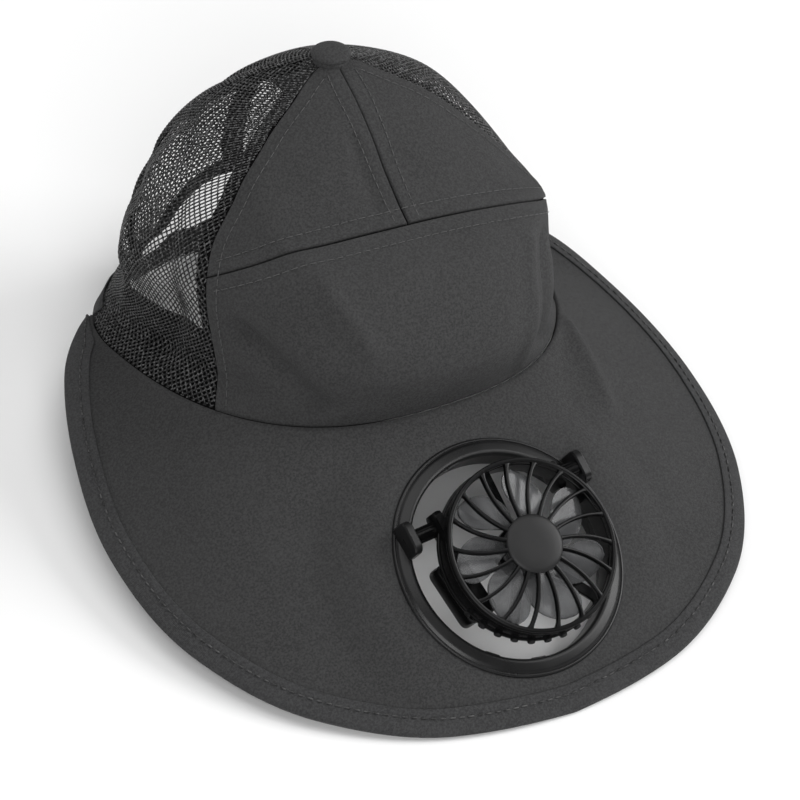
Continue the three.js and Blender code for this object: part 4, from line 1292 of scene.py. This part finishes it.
# %% Fan sizes and frames
FAN = dict(below=19.4, radius=31.0, front=12.3, wall=1.5)
GRILLE = dict(depth=2.5, spokes=18, spoke=1.5, hub=10.4, sweep=10 * RADIAN, dome=1.8)
GUARD = dict(struts=5, width=3.6, thickness=2.0, teeth=13, tooth=2.6, first=202, last=338)
MOTOR = dict(radius=9.6, height=2.6, axle=1.0)
IMPELLER = dict(blades=7, hub=8.8, radius=28.0, height=5.2, blade=0.9, ahead=0.2, behind=0.5)
BOSS = dict(length=4.4, width=10.0, height=8.6, centre=1.7)
BOX = dict(angle=188 * RADIAN, inner=18.5, outer=30.6, length=23, depth=8.5)
KNOB = dict(length=7.0, width=3.6, height=1.8)
IMPELLER_TOP = FAN["front"] - GRILLE["depth"] - IMPELLER["ahead"]
IMPELLER_BOTTOM = IMPELLER_TOP - IMPELLER["height"]
MOTOR_TOP = IMPELLER_BOTTOM - IMPELLER["behind"]
REAR = MOTOR_TOP - MOTOR["height"]
HINGE_FRAME = (
    SEAT_FRAME
    @ Matrix.Translation((0, HINGE["up"], HINGE["height"]))
    @ Matrix.Rotation(HINGE["pitch"], 4, "X")
    @ Matrix.Rotation(HINGE["yaw"], 4, "Y")
    @ Matrix.Rotation(HINGE["turn"], 4, "Z")
)
FAN_FRAME = HINGE_FRAME @ Matrix.Translation((0, -FAN["below"], 0))


# %% Barrel, struts, teeth and shafts
ON_FAN = dict(body="fan", slot="fan", matrix=FAN_FRAME)


def rod(radius, low, high, sides=40, edge=0.3):
    side = [(radius - edge, low), (radius, low + edge), (radius, high - edge), (radius - edge, high)]
    return turned([(ON_AXIS, low), *side, (ON_AXIS, high)], sides)


def along_hinge(shape, hand):
    points, faces = shape
    return np.stack([hand * points[:, 2], points[:, 1] + FAN["below"], points[:, 0] * -hand], -1), faces


def pin_parts(hand, start):
    """One hinge pin: its shaft, its thin end in the ear, a collar, a boss on the barrel and twelve ribs."""
    inner, shaft = EAR["inner"], SHAFT["radius"]
    parts = [
        along_hinge(rod(shaft - 0.25, start, inner - 0.4, 32), hand),
        along_hinge(rod(SHAFT["pin"], inner - 1, inner + EAR["thickness"], 24), hand),
        along_hinge(rod(shaft + 0.6, start, start + 2.6, 32, 0.4), hand),
    ]
    boss, faces = bar((BOSS["length"] - 0.8, BOSS["width"], BOSS["height"]), (0, 0, 0), 0, 1.2)
    out = hand * (start + BOSS["length"] / 2 - 1.1)
    parts.append((boss + [out, FAN["below"], BOSS["centre"]], faces))
    size, centre = (0.7, 0.75, inner - start - 2.2), (shaft - 0.2, 0, (inner + start + 1.4) / 2)
    return parts + [along_hinge(bar(size, centre, k * math.pi / 6, 0.15), hand) for k in range(12)]


def barrel():
    radius, wall = FAN["radius"] - 0.4, FAN["wall"]
    top = FAN["front"] - GRILLE["depth"] - GAP
    outline = rounded([(radius, REAR), (radius, top), (radius - wall, top), (radius - wall, REAR)], 0.35, 4)
    out, back, foot = radius + 0.5, radius - 0.5, REAR + 1.6
    rear_rim = rounded([(out, REAR), (out, foot), (back, foot), (back, REAR)], 0.3, 3)
    parts = [turned(outline, 180), turned(rear_rim, 180)]
    length = radius - 0.8 - MOTOR["radius"] / 2
    centre = (MOTOR["radius"] / 2 + length / 2, 0, REAR + GUARD["thickness"] / 2)
    for i in range(GUARD["struts"]):
        turn = (i * 360 / GUARD["struts"] + 18) * RADIAN
        parts.append(bar((length, GUARD["width"], GUARD["thickness"]), centre, turn, 0.5))
    for angle in np.linspace(GUARD["first"], GUARD["last"], GUARD["teeth"]):
        size, centre = (2.4, GUARD["tooth"] + 0.3, 2.4), (radius + 0.4, 0, REAR + 1.0)
        parts.append(bar(size, centre, angle * RADIAN, 0.95))
    parts.append(rod(MOTOR["radius"], REAR - 1.5, MOTOR_TOP, 64, 0.8))
    parts.append(rod(MOTOR["axle"], MOTOR_TOP - 1, IMPELLER_TOP - 1, 20, 0.2))
    start = math.sqrt(radius**2 - FAN["below"] ** 2) - 0.9
    return joined(*parts, *pin_parts(1, start), *pin_parts(-1, start))


piece("fan_housing", barrel(), plastic, stands_for=["fan_housing"], sharp=35, **ON_FAN)


# %% Grille
def swelling(distance, width):
    return np.exp(-((distance / width) ** 2))


def spoke(turn):
    """A curved spoke, wider where it runs into the rim and the disc."""
    steps = 22
    u = np.linspace(0, 1, steps)
    start, end = GRILLE["hub"] - 1.2, FAN["radius"] - 1.2
    radius = start + (end - start) * u
    angle = turn + GRILLE["sweep"] * np.sin((1 - u) * math.pi / 2)
    half = GRILLE["spoke"] / 2 * (1 + 0.9 * swelling(1 - u, 0.05) + 0.35 * swelling(u, 0.09))
    height = FAN["front"] - 1.25 + GRILLE["dome"] * (1 - u)
    centre = np.stack([radius * np.cos(angle), radius * np.sin(angle), height], -1)
    side = np.cross(unit(np.gradient(centre, axis=0)), [0, 0, 1])
    outline = rounded([(-1, -0.75), (1, -0.75), (0.75, 0.85), (-0.75, 0.85)], [0.15, 0.15, 0.45, 0.45], 3)
    across, up = (outline[:, 0] * half[:, None])[..., None], outline[:, 1][None, :, None]
    rings = centre[:, None] + side[:, None] * across + np.array([0, 0, 1]) * up
    return rings.reshape(-1, 3), ring_faces(steps, len(outline))


def grille_shape():
    radius, front = FAN["radius"], FAN["front"]
    inner, outer, low = radius - 1.75, radius + 0.05, front - GRILLE["depth"]
    corners = [(inner, low), (outer, low), (outer, front), (inner, front - 0.1)]
    rim = rounded(corners, [0.2, 0.3, 0.8, 0.7], 6)
    spokes = [spoke(i * 2 * math.pi / GRILLE["spokes"]) for i in range(GRILLE["spokes"])]
    return joined(turned(rim, 180), *spokes)


piece("grille", grille_shape(), plastic, stands_for=["grille"], sharp=40, **ON_FAN)

# %% Hub disc
hub, front = GRILLE["hub"], FAN["front"] + GRILLE["dome"]
dome = [  # radius, height
    (ON_AXIS, front - 2.2),
    (hub - 0.3, front - 2.2),
    (hub, front - 1.9),
    (hub, front - 0.75),
    (hub - 0.12, front - 0.45),
    (hub - 0.5, front - 0.2),
    (hub - 1.6, front + 0.02),
    (hub * 0.6, front + 0.22),
    (hub * 0.3, front + 0.3),
    (ON_AXIS, front + 0.32),
]
piece("hub_disc", turned(dome, 128), disc_plastic, sharp=50, **ON_FAN)


# %% Impeller
def petal(turn):
    """One blade: a petal, broad in the middle and rounded at its tip, twisted and thicker at its edge."""
    u = np.linspace(0, 1, 26)[:, None]
    w = np.linspace(-1, 1, 13)[None]
    root, height = IMPELLER["hub"] - 0.8, IMPELLER["height"]
    radius = root + (IMPELLER["radius"] - root) * u
    width = (0.40 + 0.42 * np.sin(math.pi * u**0.85)) * np.sqrt(np.clip(1 - u**7, 0.0, 1))
    angle = turn + 0.42 * u + w * np.maximum(width, 0.02) / 2
    rise = height * (0.8 - 0.25 * u) * np.sqrt(np.clip(1 - u**9, 0.05, 1))
    camber = 0.7 * (1 - w**2)
    z = IMPELLER_BOTTOM + height / 2 + w * rise / 2 + camber
    half = IMPELLER["blade"] / 2 * (1 + 0.9 * swelling(1 - np.abs(w), 0.14)) * 0.7
    x, y = radius * np.cos(angle), radius * np.sin(angle)
    return shell(np.stack([x, y, z + half], -1), np.stack([x, y, z - half], -1))


blades = [petal(i * 2 * math.pi / IMPELLER["blades"]) for i in range(IMPELLER["blades"])]
low, high, bore, hub = IMPELLER_BOTTOM, IMPELLER_TOP, MOTOR["axle"] + 0.35, IMPELLER["hub"]
boss = turned(rounded([(bore, low), (hub, low), (hub, high), (bore, high)], [0.1, 0.5, 0.8, 0.1], 4), 96)
piece(
    "impeller",
    joined(boss, *blades),
    blade_plastic,
    body="impeller",
    slot="impeller",
    stands_for=["impeller"],
    matrix=FAN_FRAME,
    sharp=50,
)

# %% Control box and its button
BOX_PLACE = Matrix.Translation((0, 0, REAR - GAP - BOX["depth"]))
BOX_TURN = Matrix.Rotation(BOX["angle"] - math.pi / 2, 4, "Z")
ON_BOX = dict(body="fan", slot="fan", matrix=FAN_FRAME @ BOX_PLACE @ BOX_TURN, sharp=40)
outline = block(BOX["length"] / 2, BOX["inner"], BOX["outer"], 3, 8)
piece("control_box", slab(outline, 0, BOX["depth"], 0.9), plastic, stands_for=["control_box"], **ON_BOX)
middle, half = (BOX["inner"] + BOX["outer"]) / 2, KNOB["width"] / 2
outline = block(KNOB["length"] / 2, middle - half, middle + half, 1.7, 8)
knob = slab(outline, -GAP - KNOB["height"], -GAP, 0.5)
piece("power_button", knob, ring_plastic, stands_for=["power_button"], **ON_BOX)

# %% [markdown]
# ## Floor, light and camera
# A plain pale floor and large soft lights show the form without hard shadows. The camera stands where the
# photograph was taken: its place was worked out in the cap's frame, and the resting matrix brings it
# here.

# %% Floor
floor_mesh = bpy.data.meshes.new("floor")
floor_mesh.from_pydata([(-6, -6, 0), (6, -6, 0), (6, 6, 0), (-6, 6, 0)], [], [(0, 1, 2, 3)])
floor = bpy.data.objects.new("floor", floor_mesh)
bpy.context.scene.collection.objects.link(floor)
floor.location.z = -0.0002


def pale(tree, surface):
    tone = noise(tree, 3.0, 2.0).between(0.2, 0.8)
    tree.links.new(mixed(tree, tone, (0.86, 0.86, 0.86), (0.88, 0.88, 0.88)), surface.inputs["Base Color"])


floor_mesh.materials.append(finish("pale_floor", pale, Roughness=0.9))

# %% Lights and world
LIGHTS = dict(  # place, size, power
    overhead=((0.15, -0.10, 2.4), 2.0, 18),
    right=((2.4, -0.8, 1.8), 2.0, 62),
    near=((-1.2, -2.3, 1.9), 1.9, 50),
    back=((-0.9, 2.0, 1.8), 2.0, 12),
)
SKY = 0.28
world = bpy.data.worlds.new("studio")
bpy.context.scene.world = world
world.use_nodes = True
world.node_tree.nodes["Background"].inputs["Color"].default_value = (1, 1, 1, 1)
world.node_tree.nodes["Background"].inputs["Strength"].default_value = SKY


def soft_light(name, place, size, power):
    data = bpy.data.lights.new(name, "AREA")
    data.shape, data.size, data.energy = "DISK", size, power
    lamp = bpy.data.objects.new(name, data)
    lamp.location = place
    aim = Vector((0, -0.03, 0.05)) - Vector(place)
    lamp.rotation_euler = aim.to_track_quat("-Z", "Y").to_euler()
    bpy.context.scene.collection.objects.link(lamp)


for light_name, light in LIGHTS.items():
    soft_light(light_name, *light)

# %% Camera
VIEW = dict(azimuth=-28.693, elevation=26.673, roll=-3.849, distance=1479.7, focal=4288.3, frame=800)
VIEW_TARGET = (-12.098, -86.522, 1.694)


def photo_camera():
    a, e, roll = (VIEW[k] * RADIAN for k in ("azimuth", "elevation", "roll"))
    back = Vector((math.sin(a) * math.cos(e), -math.cos(a) * math.cos(e), math.sin(e)))
    right = Vector((math.cos(a), math.sin(a), 0))
    up = back.cross(right)
    across = right * math.cos(roll) + up * math.sin(roll)
    above = up * math.cos(roll) - right * math.sin(roll)
    turn = CAP.to_3x3() @ Matrix((across, above, back)).transposed()
    place = CAP @ (Vector(VIEW_TARGET) + back * VIEW["distance"])
    data = bpy.data.cameras.new("photo_camera")
    data.sensor_width = 36.0
    data.lens = VIEW["focal"] / VIEW["frame"] * data.sensor_width
    data.clip_start, data.clip_end = 0.05, 20
    camera = bpy.data.objects.new("photo_camera", data)
    camera.matrix_world = Matrix.Translation(place * MM) @ turn.to_4x4()
    bpy.context.scene.collection.objects.link(camera)
    bpy.context.scene.camera = camera
    print("camera height", round(place.z), "mm")


photo_camera()
bpy.context.scene.view_settings.view_transform = "Standard"
